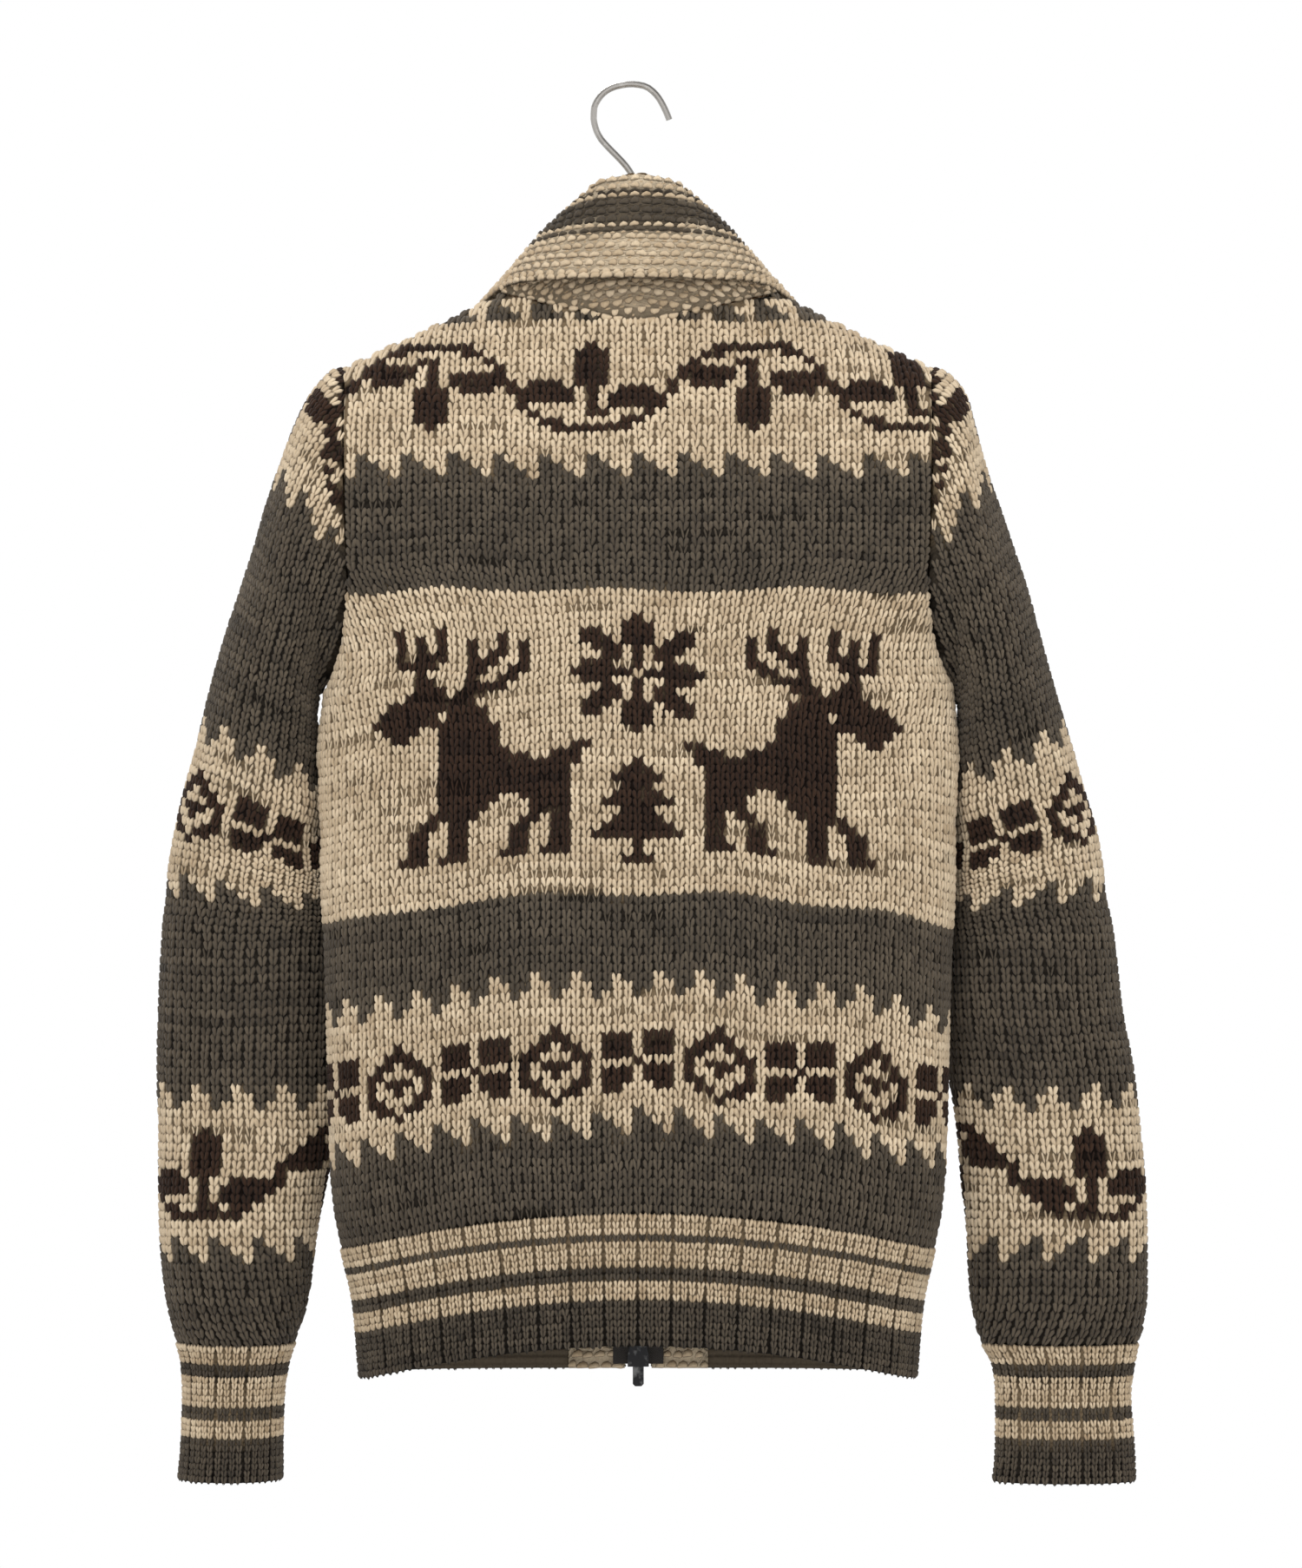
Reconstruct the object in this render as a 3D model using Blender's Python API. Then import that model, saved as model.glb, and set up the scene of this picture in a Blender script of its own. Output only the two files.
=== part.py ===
"""Solids of a zipped shawl-collar sweater in bulky knit, hung on a plain hanger.

The frame's origin is the inner top of the hanger's hook. The front faces -Y, the wearer's left is +X,
and Z is up. Sizes are given in millimetres, and to_mesh turns them into metres.
"""

import math

import bpy
import numpy as np

MM = 0.001
SEAM = 0.4  # gap left between two pieces at a seam

# Cloth
KNIT_WALL = 4.0
RIB_WALL = 3.6
RIB_HEIGHT = 1.5
GARTER_WALL = 4.6
COLLAR_WALL = 5.0
COLLAR_LIFT = 1.1
COLLAR_INSET = 3.7
TAPE_WALL = 1.2

# Levels of the garment
NECK_SIDE_X = 86.0
NECK_SIDE_Z = -129.0
NECK_BACK_DROP = 20.0
NECK_BACK_Y = 38.0
NECK_CURVE = 1.2
SHOULDER_X = 182.0
SHOULDER_Z = -175.0
UNDERARM_Z = -378.0
V_POINT_Z = -248.0
BACK_RIB_TOP_Z = -696.0
BACK_HEM_Z = -777.0
FRONT_RIB_TOP_Z = -715.0
FRONT_HEM_Z = -804.0
SIDE_RIB_TOP_Z = -722.0
SIDE_HEM_Z = -802.0

# Section of the body
ROUNDNESS = 2.4
ARMHOLE_DEPTH = 45.0
SHOULDER_ROLL = 95.0
FRONT_DEPTH = 70.0

# Zip
BAND_INNER_X = 8.5
BAND_OUTER_X = 44.6
TAPE_INNER_X = 1.7
TAPE_OUTER_X = 16.0
ZIP_Y = -64.4
SLIDER_WIDTH = 13.5
SLIDER_HEIGHT = 15.0
SLIDER_PLATE = 2.0
SLIDER_HALF_GAP = 2.3
POST_WIDTH = 2.2
POST_HEIGHT = 3.4
PIN_RADIUS = 0.9
PIN_REACH = 2.6
BORE_RADIUS = 1.3
KNUCKLE_RADIUS = 2.1
KNUCKLE_HALF = 2.6
LUG_INNER = 3.1
LUG_WIDTH = 1.4
LUG_HEIGHT = 4.0
TAB_WIDTH = 7.0
TAB_LENGTH = 22.0
TAB_NECK = 3.6
TAB_WALL = 1.6
TOP_SLIDER_Z = -263.5
BOTTOM_SLIDER_Z = -795.0
TAPE_FOOT = 3.0
TAPE_HEAD = 2.0

# Hanger
WIRE_RADIUS = 2.0
HANGER_REACH = 165.0
HANGER_HALF_DEPTH = 6.0
HANGER_DROP = 7.6
HANGER_NECK_Z = -104.0
HANGER_NECK_X = 60.0
HANGER_NECK_FLAT = 10.0
HANGER_CHAMFER = 2.5

# Counts of faces
AROUND_PANEL = 24
AROUND_FRONT = 11
LOWER_ROWS = 10
UPPER_ROWS = 11
RIB_ROWS = 3
BACK_RIBS = 20
FRONT_RIBS = 8
CUFF_RIBS = 10
COLLAR_STEPS = 22
COLLAR_ACROSS = 12
WIRE_RINGS = 48
WIRE_SIDES = 10
ROUND_SIDES = 24


def columns(names, rows):
    """A table with named columns, as a dict of arrays."""
    return dict(zip(names.split(), np.array(rows, float).T))


# Half-width of the body by level: the armhole seam above the underarm, the side seam below it.
EDGE = columns(
    "z half",
    [
        (-802, 172), (-756, 176), (-724, 183), (-700, 188), (-670, 191), (-615, 192.5),
        (-540, 194.5), (-486, 197), (-430, 196.5), (-378, 195.5), (-366, 190), (-345, 183),
        (-313, 179), (-253, 181), (-199, 182), (-175, 182),
    ],
)
# Depth of the back and of the front at the centre, by level.
DEPTH = columns(
    "z back front",
    [
        (-802, 62, 70), (-740, 66, 70), (-700, 70, 70), (-620, 72, 70), (-500, 70, 70),
        (-378, 66, 70), (-300, 60, 70), (-248, 56, 70), (-200, 50, 60), (-149, 44, 44), (-120, 40, 36),
    ],
)
# How far a knit row is lower at the side seam than at the centre of the back, by level there.
BOW = columns(
    "z drop",
    [(-777, 25), (-696, 26), (-640, 25), (-560, 24), (-500, 22), (-430, 12), (-370, 5), (-313, 0)],
)
# Rings of each sleeve: its outer and inner point in the plane of the arms, its half-depth and middle in y,
# and how far the ring is an ellipse (1) and not yet the armhole's shape (0).
SLEEVE_NAMES = "outer_x outer_z inner_x inner_z depth y ellipse"
LEFT_SLEEVE = columns(
    SLEEVE_NAMES,
    [
        (189, -176, 198, -379, 46, 0, 0.0), (202, -189, 199, -381, 47, 0, 0.1),
        (213, -210, 200, -384, 48, -1, 0.2), (225, -243, 201, -388, 48, -3, 0.35),
        (235, -275, 202, -393, 48, -5, 0.5), (246, -308, 202, -401, 48, -8, 0.7),
        (258, -343, 202, -410, 47, -12, 0.85), (268, -378, 201, -424, 46, -16, 1),
        (276, -410, 199, -440, 45, -21, 1), (284, -437, 197, -459, 44, -26, 1),
        (291, -467, 194, -481, 42, -30, 1), (296, -497, 192, -505, 41, -33, 1),
        (299, -535, 190, -537, 40, -35, 1), (301, -572, 190, -572, 39, -36, 1),
        (302, -616, 190, -616, 39, -36, 1), (301, -653, 191, -653, 39, -36, 1),
        (301, -686, 197, -686, 40, -36, 1), (300, -718, 203, -718, 40, -36, 1),
        (297, -751, 207, -751, 38, -36, 1), (292, -775, 213, -775, 34, -36, 1),
        (289, -784, 217, -784, 31, -36, 1),
    ],
)
RIGHT_SLEEVE = columns(
    SLEEVE_NAMES,
    [
        (189, -176, 197, -379, 46, 0, 0.0), (203, -190, 198, -381, 47, 0, 0.1),
        (209, -210, 199, -384, 48, -1, 0.2), (218, -243, 201, -388, 48, -3, 0.35),
        (228, -274, 201, -393, 48, -5, 0.5), (241, -308, 202, -401, 48, -8, 0.7),
        (251, -343, 201, -410, 47, -12, 0.85), (261, -378, 200, -424, 46, -16, 1),
        (271, -410, 198, -440, 45, -21, 1), (279, -437, 197, -459, 44, -25, 1),
        (288, -467, 196, -481, 42, -28, 1), (293, -497, 195, -505, 41, -30, 1),
        (299, -535, 194, -537, 40, -31, 1), (303, -572, 194, -572, 39, -31, 1),
        (311, -616, 196, -616, 37, -31, 1), (315, -653, 201, -653, 35, -31, 1),
        (318, -686, 204, -686, 33, -31, 1), (319, -718, 207, -718, 32, -31, 1),
        (319, -751, 209, -751, 31, -31, 1), (316, -775, 213, -775, 27, -31, 1),
        (313, -784, 217, -784, 24, -31, 1),
    ],
)
CUFF_NAMES = "outer_x inner_x z depth y"
LEFT_CUFF = columns(
    CUFF_NAMES,
    [
        (289, 217, -784.4, 31, -36), (286, 221, -797, 28, -36), (285, 224, -816, 27, -36),
        (286, 225, -848, 26.5, -36), (288, 225, -870, 27, -36),
    ],
)
RIGHT_CUFF = columns(
    CUFF_NAMES,
    [
        (313, 217, -784.4, 24, -31), (310, 224, -799, 20, -31), (308, 226, -816, 18, -31),
        (310, 226, -848, 18, -31), (311, 224, -871, 19, -31),
    ],
)
# The collar's stations from the centre of the back to the zip: where its base leaves the neck seam, the
# top of its fold with the way that it rolls (0 to the back, 90 to the side), and its free edge.
COLLAR = columns(
    "base_x front fold_x fold_y fold_z turn roll edge_x edge_y edge_z",
    [
        (0, 0, 0, 20, -57, 0, 10, 0, 50, -121),
        (30, 0, 20, 18, -61, 15, 10, 36, 47, -121.5),
        (58, 0, 35, 11, -73, 42, 10, 63, 35, -122),
        (77, 0, 47, 1, -86, 68, 9.5, 78, 18, -123),
        (84, 0, 54, -11, -98, 92, 9, 88, -2, -127),
        (81, 1, 60, -30, -113, 108, 9, 101, -25, -139),
        (73, 1, 59, -56, -136, 124, 9, 110, -45, -169),
        (65, 1, 50, -71, -168, 135, 8, 102, -64, -206),
        (53, 1, 40, -78, -205, 145, 7, 82, -75, -238),
        (35, 1, 25, -80, -236, 158, 6, 49, -78, -262),
        (13, 1, 10, -80.5, -241, 172, 5, 14, -77.5, -268),
    ],
)
# The hook's wire from its tip over the top and down into the hanger.
HOOK = columns(
    "x z",
    [
        (-19.5, -20.0), (-17.8, -15.7), (-14.6, -9.2), (-10.6, -3.6), (-4.0, 1.0), (4.3, 2.2), (13.5, 0.8),
        (20.0, -2.2), (24.6, -7.0), (27.3, -13.0), (27.6, -19.0), (26.3, -25.5), (23.4, -31.5),
        (18.1, -37.6), (12.6, -43.2), (7.2, -49.2), (3.0, -56.0), (0.6, -64.3), (0.0, -74.0),
        (0.0, -103.7),
    ],
)


def clear_scene():
    for obj in list(bpy.data.objects):
        bpy.data.objects.remove(obj, do_unlink=True)


def material(name, colour, metallic=0.0, roughness=0.9):
    made = bpy.data.materials.new(name)
    made.use_nodes = True
    shader = made.node_tree.nodes["Principled BSDF"]
    shader.inputs["Base Color"].default_value = (*colour, 1.0)
    shader.inputs["Metallic"].default_value = metallic
    shader.inputs["Roughness"].default_value = roughness
    return made


def smooth(x, xs, ys):
    """A smooth curve through a table's points that never passes beyond them."""
    secants = np.diff(ys) / np.diff(xs)
    before, after = secants[:-1], secants[1:]
    same_way = before * after > 0
    inner = np.where(same_way, 2 * before * after / np.where(same_way, before + after, 1), 0)
    slopes = np.concatenate([secants[:1], inner, secants[-1:]])
    x = np.clip(x, xs[0], xs[-1])
    i = np.clip(np.searchsorted(xs, x, side="right") - 1, 0, len(xs) - 2)
    step = xs[i + 1] - xs[i]
    t = (x - xs[i]) / step
    start = (1 + 2 * t) * (1 - t) ** 2 * ys[i] + t * (1 - t) ** 2 * step * slopes[i]
    return start + t**2 * (3 - 2 * t) * ys[i + 1] + t**2 * (t - 1) * step * slopes[i + 1]


def arch(s):
    """A quarter round, 0 at the start of a roll and 1 where it has turned fully down."""
    return np.sqrt(1 - (1 - np.clip(s, 0, 1)) ** 2)


def side_share(u):
    """The share of the centre's depth that is left at u, from 0 at the centre to 1 at the side."""
    return np.clip(1 - np.abs(u) ** ROUNDNESS, 0, 1) ** (1 / ROUNDNESS)


def edge_depth(z):
    """Depth of a panel at the armhole seam: full down to its middle, then less down to the underarm."""
    middle = (SHOULDER_Z + UNDERARM_Z) / 2
    t = np.clip((middle - z) / (middle - UNDERARM_Z), 0, 1)
    return ARMHOLE_DEPTH * (1 - t**2)


def shoulder_z(x):
    """Level of the shoulder seam, level with the neck's side point inside it."""
    slope = (SHOULDER_Z - NECK_SIDE_Z) / (SHOULDER_X - NECK_SIDE_X)
    return NECK_SIDE_Z + slope * (np.abs(x) - NECK_SIDE_X)


def back_top(x):
    """Level and depth of the back panel's top edge: the shoulder seam, then the dip of the back neck."""
    share = np.clip(np.abs(x) / NECK_SIDE_X, 0, 1)
    dip = NECK_SIDE_Z - NECK_BACK_DROP * (1 - share**NECK_CURVE)
    level = np.where(np.abs(x) > NECK_SIDE_X, shoulder_z(x), dip)
    return level, NECK_BACK_Y * np.sqrt(1 - share**2)


def front_top(x):
    """Level and depth of the front panel's top edge: the shoulder seam, then the V from the neck's side."""
    share = np.clip((NECK_SIDE_X - np.abs(x)) / (NECK_SIDE_X - BAND_OUTER_X), 0, 1)
    rise = NECK_SIDE_Z + (V_POINT_Z - NECK_SIDE_Z) * share**1.15
    level = np.where(np.abs(x) > NECK_SIDE_X, shoulder_z(x), rise)
    return level, FRONT_DEPTH * arch(share * 1.3)


def depth_at(x, z, front):
    """How far a panel's outer face stands from the plane of the arms, at x and z."""
    half = smooth(z, EDGE["z"], EDGE["half"])
    top_z, top_y = front_top(x) if front else back_top(x)
    middle = smooth(z, DEPTH["z"], DEPTH["front" if front else "back"])
    edge = np.where(z > UNDERARM_Z, edge_depth(z), 0)
    full = edge + (middle - edge) * side_share(np.clip(np.abs(x) / half, 0, 1))
    s = (top_z - z) / SHOULDER_ROLL
    neckness = np.clip(top_y / 20, 0, 1)
    turn = neckness * np.sin(np.clip(s, 0, 1) * math.pi / 2) + (1 - neckness) * arch(s)
    return top_y + (full - top_y) * turn


def body_row(u, centre_z, side_z):
    """Levels of one knit row: centre_z at the centre and side_z at the side seam."""
    return centre_z + (side_z - centre_z) * u**2


def panel_points(u, front):
    """Outer points of a panel above its rib: a row for each knit level, a column for each u."""
    top_level = (front_top if front else back_top)(SHOULDER_X * u)[0]
    bow = 0 if front else smooth(UNDERARM_Z, BOW["z"], BOW["drop"])
    underarm_centre = UNDERARM_Z + bow
    base_centre = (FRONT_RIB_TOP_Z if front else BACK_RIB_TOP_Z) + SEAM / 2
    rows = []
    for t in np.arange(LOWER_ROWS) / LOWER_ROWS:
        centre = base_centre + t * (underarm_centre - base_centre)
        if front:
            side = SIDE_RIB_TOP_Z + SEAM / 2 + t * (UNDERARM_Z - SIDE_RIB_TOP_Z)
        else:
            side = centre - smooth(centre, BOW["z"], BOW["drop"])
        rows.append(body_row(u, centre, side))
    start = body_row(u, underarm_centre, UNDERARM_Z)
    for k in range(UPPER_ROWS + 1):
        rows.append(start + (top_level - start) * (1 - math.cos(math.pi * k / UPPER_ROWS)) / 2)
    z = np.array(rows)
    return on_body(smooth(z, EDGE["z"], EDGE["half"]) * u, z, front)


def on_body(x, z, front):
    """Points of the body's outer face at x and z."""
    y = depth_at(x, z, front)
    return np.stack([x, -y if front else y, z], axis=-1)


def around(count, first=-1.0, last=1.0):
    """Values of u from first to last, closer together where the body turns at the side."""
    return np.sin(np.linspace(math.asin(first), math.asin(last), count + 1))


def mirrored(points):
    """The same piece on the wearer's other side, still facing outwards."""
    return points[:, ::-1] * np.array([-1.0, 1.0, 1.0])


def normals_of(grid, wrap=False):
    """Unit normals of a grid of points, rows upwards and columns to the right seen from outside."""
    if wrap:
        ring = np.concatenate([grid[:, -1:], grid, grid[:, :1]], axis=1)
        across = np.gradient(ring, axis=1)[:, 1:-1]
    else:
        across = np.gradient(grid, axis=1)
    return unit(np.cross(across, np.gradient(grid, axis=0)))


def unit(vectors):
    return vectors / np.linalg.norm(vectors, axis=-1, keepdims=True)


def flattened(normals, rows, cols, axis):
    """The normals with their part along an axis taken out in some rows and columns, for seams that lie flush."""
    normals = normals.copy()
    normals[rows, cols, axis] = 0
    return unit(normals)


def faces_of_shell(rows, cols, wrap):
    """Faces of a wall whose outer points come first, row by row, and then its inner points."""
    inner = rows * cols
    last = cols if wrap else cols - 1
    faces = []
    for r in range(rows - 1):
        for c in range(last):
            a, b = r * cols + c, r * cols + (c + 1) % cols
            faces.append((a, b, b + cols, a + cols))
            faces.append((inner + a + cols, inner + b + cols, inner + b, inner + a))
    for c in range(last):
        a, b = c, (c + 1) % cols
        faces.append((inner + a, inner + b, b, a))
        a, b = a + (rows - 1) * cols, b + (rows - 1) * cols
        faces.append((a, b, inner + b, inner + a))
    if not wrap:
        for r in range(rows - 1):
            a = r * cols
            faces.append((a, a + cols, inner + a + cols, inner + a))
            a = a + cols - 1
            faces.append((inner + a, inner + a + cols, a + cols, a))
    return faces


def to_mesh(name, points, faces, finish, origin=(0.0, 0.0, 0.0), sharp=40):
    """A named object from points in millimetres, smooth except at sharp edges."""
    mesh = bpy.data.meshes.new(name)
    local = (np.asarray(points, float).reshape(-1, 3) - np.array(origin)) * MM
    mesh.from_pydata([tuple(p) for p in local], [], faces)
    mesh.materials.append(finish)
    mesh.polygons.foreach_set("use_smooth", [True] * len(mesh.polygons))
    mesh.set_sharp_from_angle(angle=math.radians(sharp))
    mesh.update()
    obj = bpy.data.objects.new(name, mesh)
    obj.location = [value * MM for value in origin]
    bpy.context.scene.collection.objects.link(obj)
    return obj


def shell(name, outer, inner, finish, wrap=False):
    rows, cols = outer.shape[:2]
    points = np.concatenate([outer.reshape(-1, 3), inner.reshape(-1, 3)])
    return to_mesh(name, points, faces_of_shell(rows, cols, wrap), finish)


def side_gap(front):
    """The shift that leaves half of the seam's gap between front and back."""
    return np.array([0.0, -SEAM / 2 if front else SEAM / 2, 0.0])


def add_back(finish):
    points = panel_points(-around(AROUND_PANEL), False)
    normals = normals_of(points)
    seams = np.abs(points[..., 1]) < 0.01
    normals = flattened(normals, *np.nonzero(seams), 1)
    normals = flattened(normals, 0, slice(None), 2)
    outer = points + side_gap(False)
    shell("back_panel", outer, outer - KNIT_WALL * normals, finish)


def add_fronts(finish):
    u = around(AROUND_FRONT, BAND_OUTER_X / SHOULDER_X, 1.0)
    points = panel_points(u, True)
    points[:, 0] = on_body(np.full(len(points), BAND_OUTER_X), points[:, 0, 2], True)
    normals = normals_of(points)
    seams = np.abs(points[..., 1]) < 0.01
    normals = flattened(normals, *np.nonzero(seams), 1)
    normals = flattened(normals, slice(None), 0, 0)
    normals = flattened(normals, 0, slice(None), 2)
    outer = points + side_gap(True)
    inner = outer - KNIT_WALL * normals
    shell("left_front_panel", outer, inner, finish)
    shell("right_front_panel", mirrored(outer), mirrored(inner), finish)


def rib_steps(count):
    """Where the columns of a row of ribs lie, as shares of the whole, and how high each is raised."""
    phases = np.array([0.0, 0.16, 0.5, 0.84])
    heights = np.array([0.0, 1.0, 1.12, 1.0]) * RIB_HEIGHT
    steps = (np.arange(count)[:, None] + phases).ravel() / count
    return np.append(steps, 1.0), np.append(np.tile(heights, count), 0.0)


def even_u(shares, first, last, front):
    """Values of u at even shares of the way round the hem."""
    fine = around(400, first, last)
    ring = on_body(fine * EDGE["half"][1], np.full(len(fine), EDGE["z"][1]), front)
    length = np.append(0, np.cumsum(np.linalg.norm(np.diff(ring, axis=0), axis=1)))
    return np.interp(shares * length[-1], length, fine)


def rib_points(u, front):
    centre = (FRONT_HEM_Z, FRONT_RIB_TOP_Z) if front else (BACK_HEM_Z, BACK_RIB_TOP_Z)
    rows = []
    for t in np.linspace(0, 1, RIB_ROWS + 1):
        middle = centre[0] + t * (centre[1] - SEAM / 2 - centre[0])
        side = SIDE_HEM_Z + t * (SIDE_RIB_TOP_Z - SEAM / 2 - SIDE_HEM_Z)
        rows.append(body_row(u, middle, side))
    z = np.array(rows)
    return on_body(smooth(z, EDGE["z"], EDGE["half"]) * u, z, front)


def raised_shell(name, points, normals, heights, finish, twin=None, wrap=False):
    """A wall with a plain inside and ribs raised on its outside, and its mirrored twin where there is one."""
    outer = points + heights[:, None] * normals
    inner = points - RIB_WALL * normals
    shell(name, outer, inner, finish, wrap)
    if twin:
        shell(twin, mirrored(outer), mirrored(inner), finish, wrap)


def add_hem(finish):
    steps, heights = rib_steps(BACK_RIBS)
    points = rib_points(-even_u(steps, -1.0, 1.0, False), False)
    normals = flattened(normals_of(points), slice(None), [0, -1], 1)
    normals = flattened(normals, -1, slice(None), 2)
    raised_shell("hem_rib_back", points + side_gap(False), normals, heights, finish)
    steps, heights = rib_steps(FRONT_RIBS)
    points = rib_points(even_u(steps, BAND_OUTER_X / EDGE["half"][1], 1.0, True), True)
    points[:, 0] = on_body(np.full(len(points), BAND_OUTER_X), points[:, 0, 2], True)
    normals = flattened(normals_of(points), slice(None), -1, 1)
    normals = flattened(normals, slice(None), 0, 0)
    normals = flattened(normals, -1, slice(None), 2)
    raised_shell("hem_rib_left_front", points + side_gap(True), normals, heights, finish, "hem_rib_right_front")


def armhole_shape(q):
    """Half-depth of the armhole from its top (q = 1) to the underarm (q = -1), as a share."""
    half = (SHOULDER_Z - UNDERARM_Z) / 2
    level = (SHOULDER_Z + UNDERARM_Z) / 2 + half * q
    return edge_depth(level) * arch((SHOULDER_Z - level) / SHOULDER_ROLL) / ARMHOLE_DEPTH


def sleeve_points(table):
    """Outer points of a sleeve on the +X side, from the cuff up to the armhole."""
    angles = np.arange(2 * UPPER_ROWS) * math.pi / UPPER_ROWS
    q = np.cos(angles)
    way = np.sign(np.sin(angles)) * (np.abs(np.sin(angles)) > 1e-9)
    half = (SHOULDER_Z - UNDERARM_Z) / 2
    level = (SHOULDER_Z + UNDERARM_Z) / 2 + half * q
    seam_x = smooth(level, EDGE["z"], EDGE["half"]) + SEAM
    rings = [np.stack([seam_x, way * ARMHOLE_DEPTH * armhole_shape(q), level], axis=-1)]
    for k in range(len(table["y"])):
        outer = np.array([table["outer_x"][k], table["outer_z"][k]])
        inner = np.array([table["inner_x"][k], table["inner_z"][k]])
        x, z = (outer + inner)[:, None] / 2 + (outer - inner)[:, None] / 2 * q
        share = table["ellipse"][k]
        shape = (1 - share) * armhole_shape(q) + share * np.sqrt(np.clip(1 - q**2, 0, 1))
        rings.append(np.stack([x, table["y"][k] + way * table["depth"][k] * shape, z], axis=-1))
    return np.array(rings[::-1])


def add_sleeve(name, table, side, finish):
    points = sleeve_points(table)
    normals = normals_of(points, wrap=True)
    normals = flattened(normals, -1, slice(None), 0)
    normals = flattened(normals, 0, slice(None), 2)
    inner = points - KNIT_WALL * normals
    if side < 0:
        points, inner = mirrored(points), mirrored(inner)
    shell(name, points, inner, finish, wrap=True)


def add_cuff(name, table, side, finish):
    steps, heights = rib_steps(CUFF_RIBS)
    angles = steps[:-1] * 2 * math.pi
    levels = np.linspace(table["z"][-1], table["z"][0], RIB_ROWS + 1)
    rings = []
    for z in levels:
        outer, inner, depth, y = (
            smooth(z, table["z"][::-1], table[key][::-1]) for key in ("outer_x", "inner_x", "depth", "y")
        )
        x = (outer + inner) / 2 + (outer - inner) / 2 * np.cos(angles)
        rings.append(np.stack([x, y + depth * np.sin(angles), np.full(len(x), z)], axis=-1))
    points = np.array(rings)
    normals = flattened(normals_of(points, wrap=True), -1, slice(None), 2)
    heights = heights[:-1]
    if side < 0:
        points, normals, heights = mirrored(points), mirrored(normals), heights[::-1]
    raised_shell(name, points, normals, heights, finish, wrap=True)


def add_bands(finish):
    x = np.linspace(BAND_INNER_X, BAND_OUTER_X - SEAM, 4)
    z = np.linspace(FRONT_HEM_Z, V_POINT_Z, 19)
    points = on_body(*np.meshgrid(x, z), True) + side_gap(True)
    normals = flattened(normals_of(points), slice(None), slice(None), 0)
    inner = points - GARTER_WALL * normals
    shell("zip_band_left", points, inner, finish)
    shell("zip_band_right", mirrored(points), mirrored(inner), finish)


def collar_lines():
    """The collar's base, fold and edge lines from the centre of the back to the zip, with roll and its way."""
    x = COLLAR["base_x"]
    back_z, back_y = back_top(x)
    front_z, front_y = front_top(x)
    at_front = COLLAR["front"] > 0
    y = np.where(at_front, -(front_y - KNIT_WALL / 2), back_y - KNIT_WALL / 2)
    z = np.where(at_front, front_z, back_z) + COLLAR_LIFT
    base = np.stack([x - COLLAR_INSET * at_front, y, z], axis=-1)
    fold = np.stack([COLLAR["fold_x"], COLLAR["fold_y"], COLLAR["fold_z"]], axis=-1)
    edge = np.stack([COLLAR["edge_x"], COLLAR["edge_y"], COLLAR["edge_z"]], axis=-1)
    turn = np.radians(COLLAR["turn"])
    roll = np.stack([np.sin(turn), np.cos(turn), 0 * turn], axis=-1) * COLLAR["roll"][:, None]
    return base, fold, edge, roll


def along(lines, count):
    """Each line resampled at even steps between its stations."""
    stations = np.arange(len(lines[0]), dtype=float)
    steps = np.linspace(0, stations[-1], count + 1)
    return [np.stack([smooth(steps, stations, line[:, k]) for k in range(3)], axis=-1) for line in lines]


def bezier(a, b, c, d, t):
    t = t[:, None, None]
    return (1 - t) ** 3 * a + 3 * t * (1 - t) ** 2 * b + 3 * t**2 * (1 - t) * c + t**3 * d


def collar_points():
    """The collar's middle surface on the +X side: a row for each step from base over the fold to the edge."""
    base, fold, edge, roll = along(collar_lines(), COLLAR_STEPS)
    stand = np.linalg.norm(fold - base, axis=1, keepdims=True)
    fall = np.linalg.norm(edge - fold, axis=1, keepdims=True)
    rise = base + np.array([0, 0, 0.4]) * stand
    hang = edge + unit(fold + 1.5 * roll - edge) * 0.4 * fall
    t = np.linspace(0, 1, COLLAR_ACROSS // 2 + 1)
    up = bezier(base, rise, fold - roll, fold, t)
    down = bezier(fold, fold + roll, hang, edge, t)
    return np.concatenate([up, down[1:]])


def add_collar(finish):
    half = collar_points()
    other = (half * np.array([-1.0, 1.0, 1.0]))[:, 1:]
    points = np.concatenate([half[:, ::-1], other], axis=1)
    normals = normals_of(points)
    outer = points + COLLAR_WALL / 2 * normals
    inner = points - COLLAR_WALL / 2 * normals
    shell("collar", outer, inner, finish)


def add_tapes(finish):
    z = np.array([FRONT_HEM_Z + TAPE_FOOT, V_POINT_Z - TAPE_HEAD])
    x, z = np.meshgrid([TAPE_INNER_X, TAPE_OUTER_X], np.linspace(*z, 3))
    points = np.stack([x, np.full_like(x, ZIP_Y - TAPE_WALL / 2), z], axis=-1)
    inner = points + np.array([0, TAPE_WALL, 0])
    shell("zip_tape_left", points, inner, finish)
    shell("zip_tape_right", mirrored(points), mirrored(inner), finish)


def prism(outline, y_from, y_to):
    """Points and faces of an outline in x and z, pushed through from y_from to y_to."""
    count = len(outline)
    points = [(x, y, z) for y in (y_from, y_to) for x, z in outline]
    faces = [tuple(range(count)), tuple(range(2 * count - 1, count - 1, -1))]
    for k in range(count):
        after = (k + 1) % count
        faces.append((k, k + count, after + count, after))
    return points, faces


def rod(half_length, radius, centre):
    """Points and faces of a rod along x."""
    points = []
    for x in (-half_length, half_length):
        for k in range(ROUND_SIDES):
            angle = 2 * math.pi * (k + 0.5) / ROUND_SIDES
            points.append(
                (centre[0] + x, centre[1] + radius * math.cos(angle), centre[2] + radius * math.sin(angle))
            )
    count = ROUND_SIDES
    faces = [tuple(range(count - 1, -1, -1)), tuple(range(count, 2 * count))]
    for k in range(count):
        after = (k + 1) % count
        faces.append((k, after, after + count, k + count))
    return points, faces


def box_outline(half_width, low, high):
    return [(-half_width, low), (half_width, low), (half_width, high), (-half_width, high)]


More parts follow.
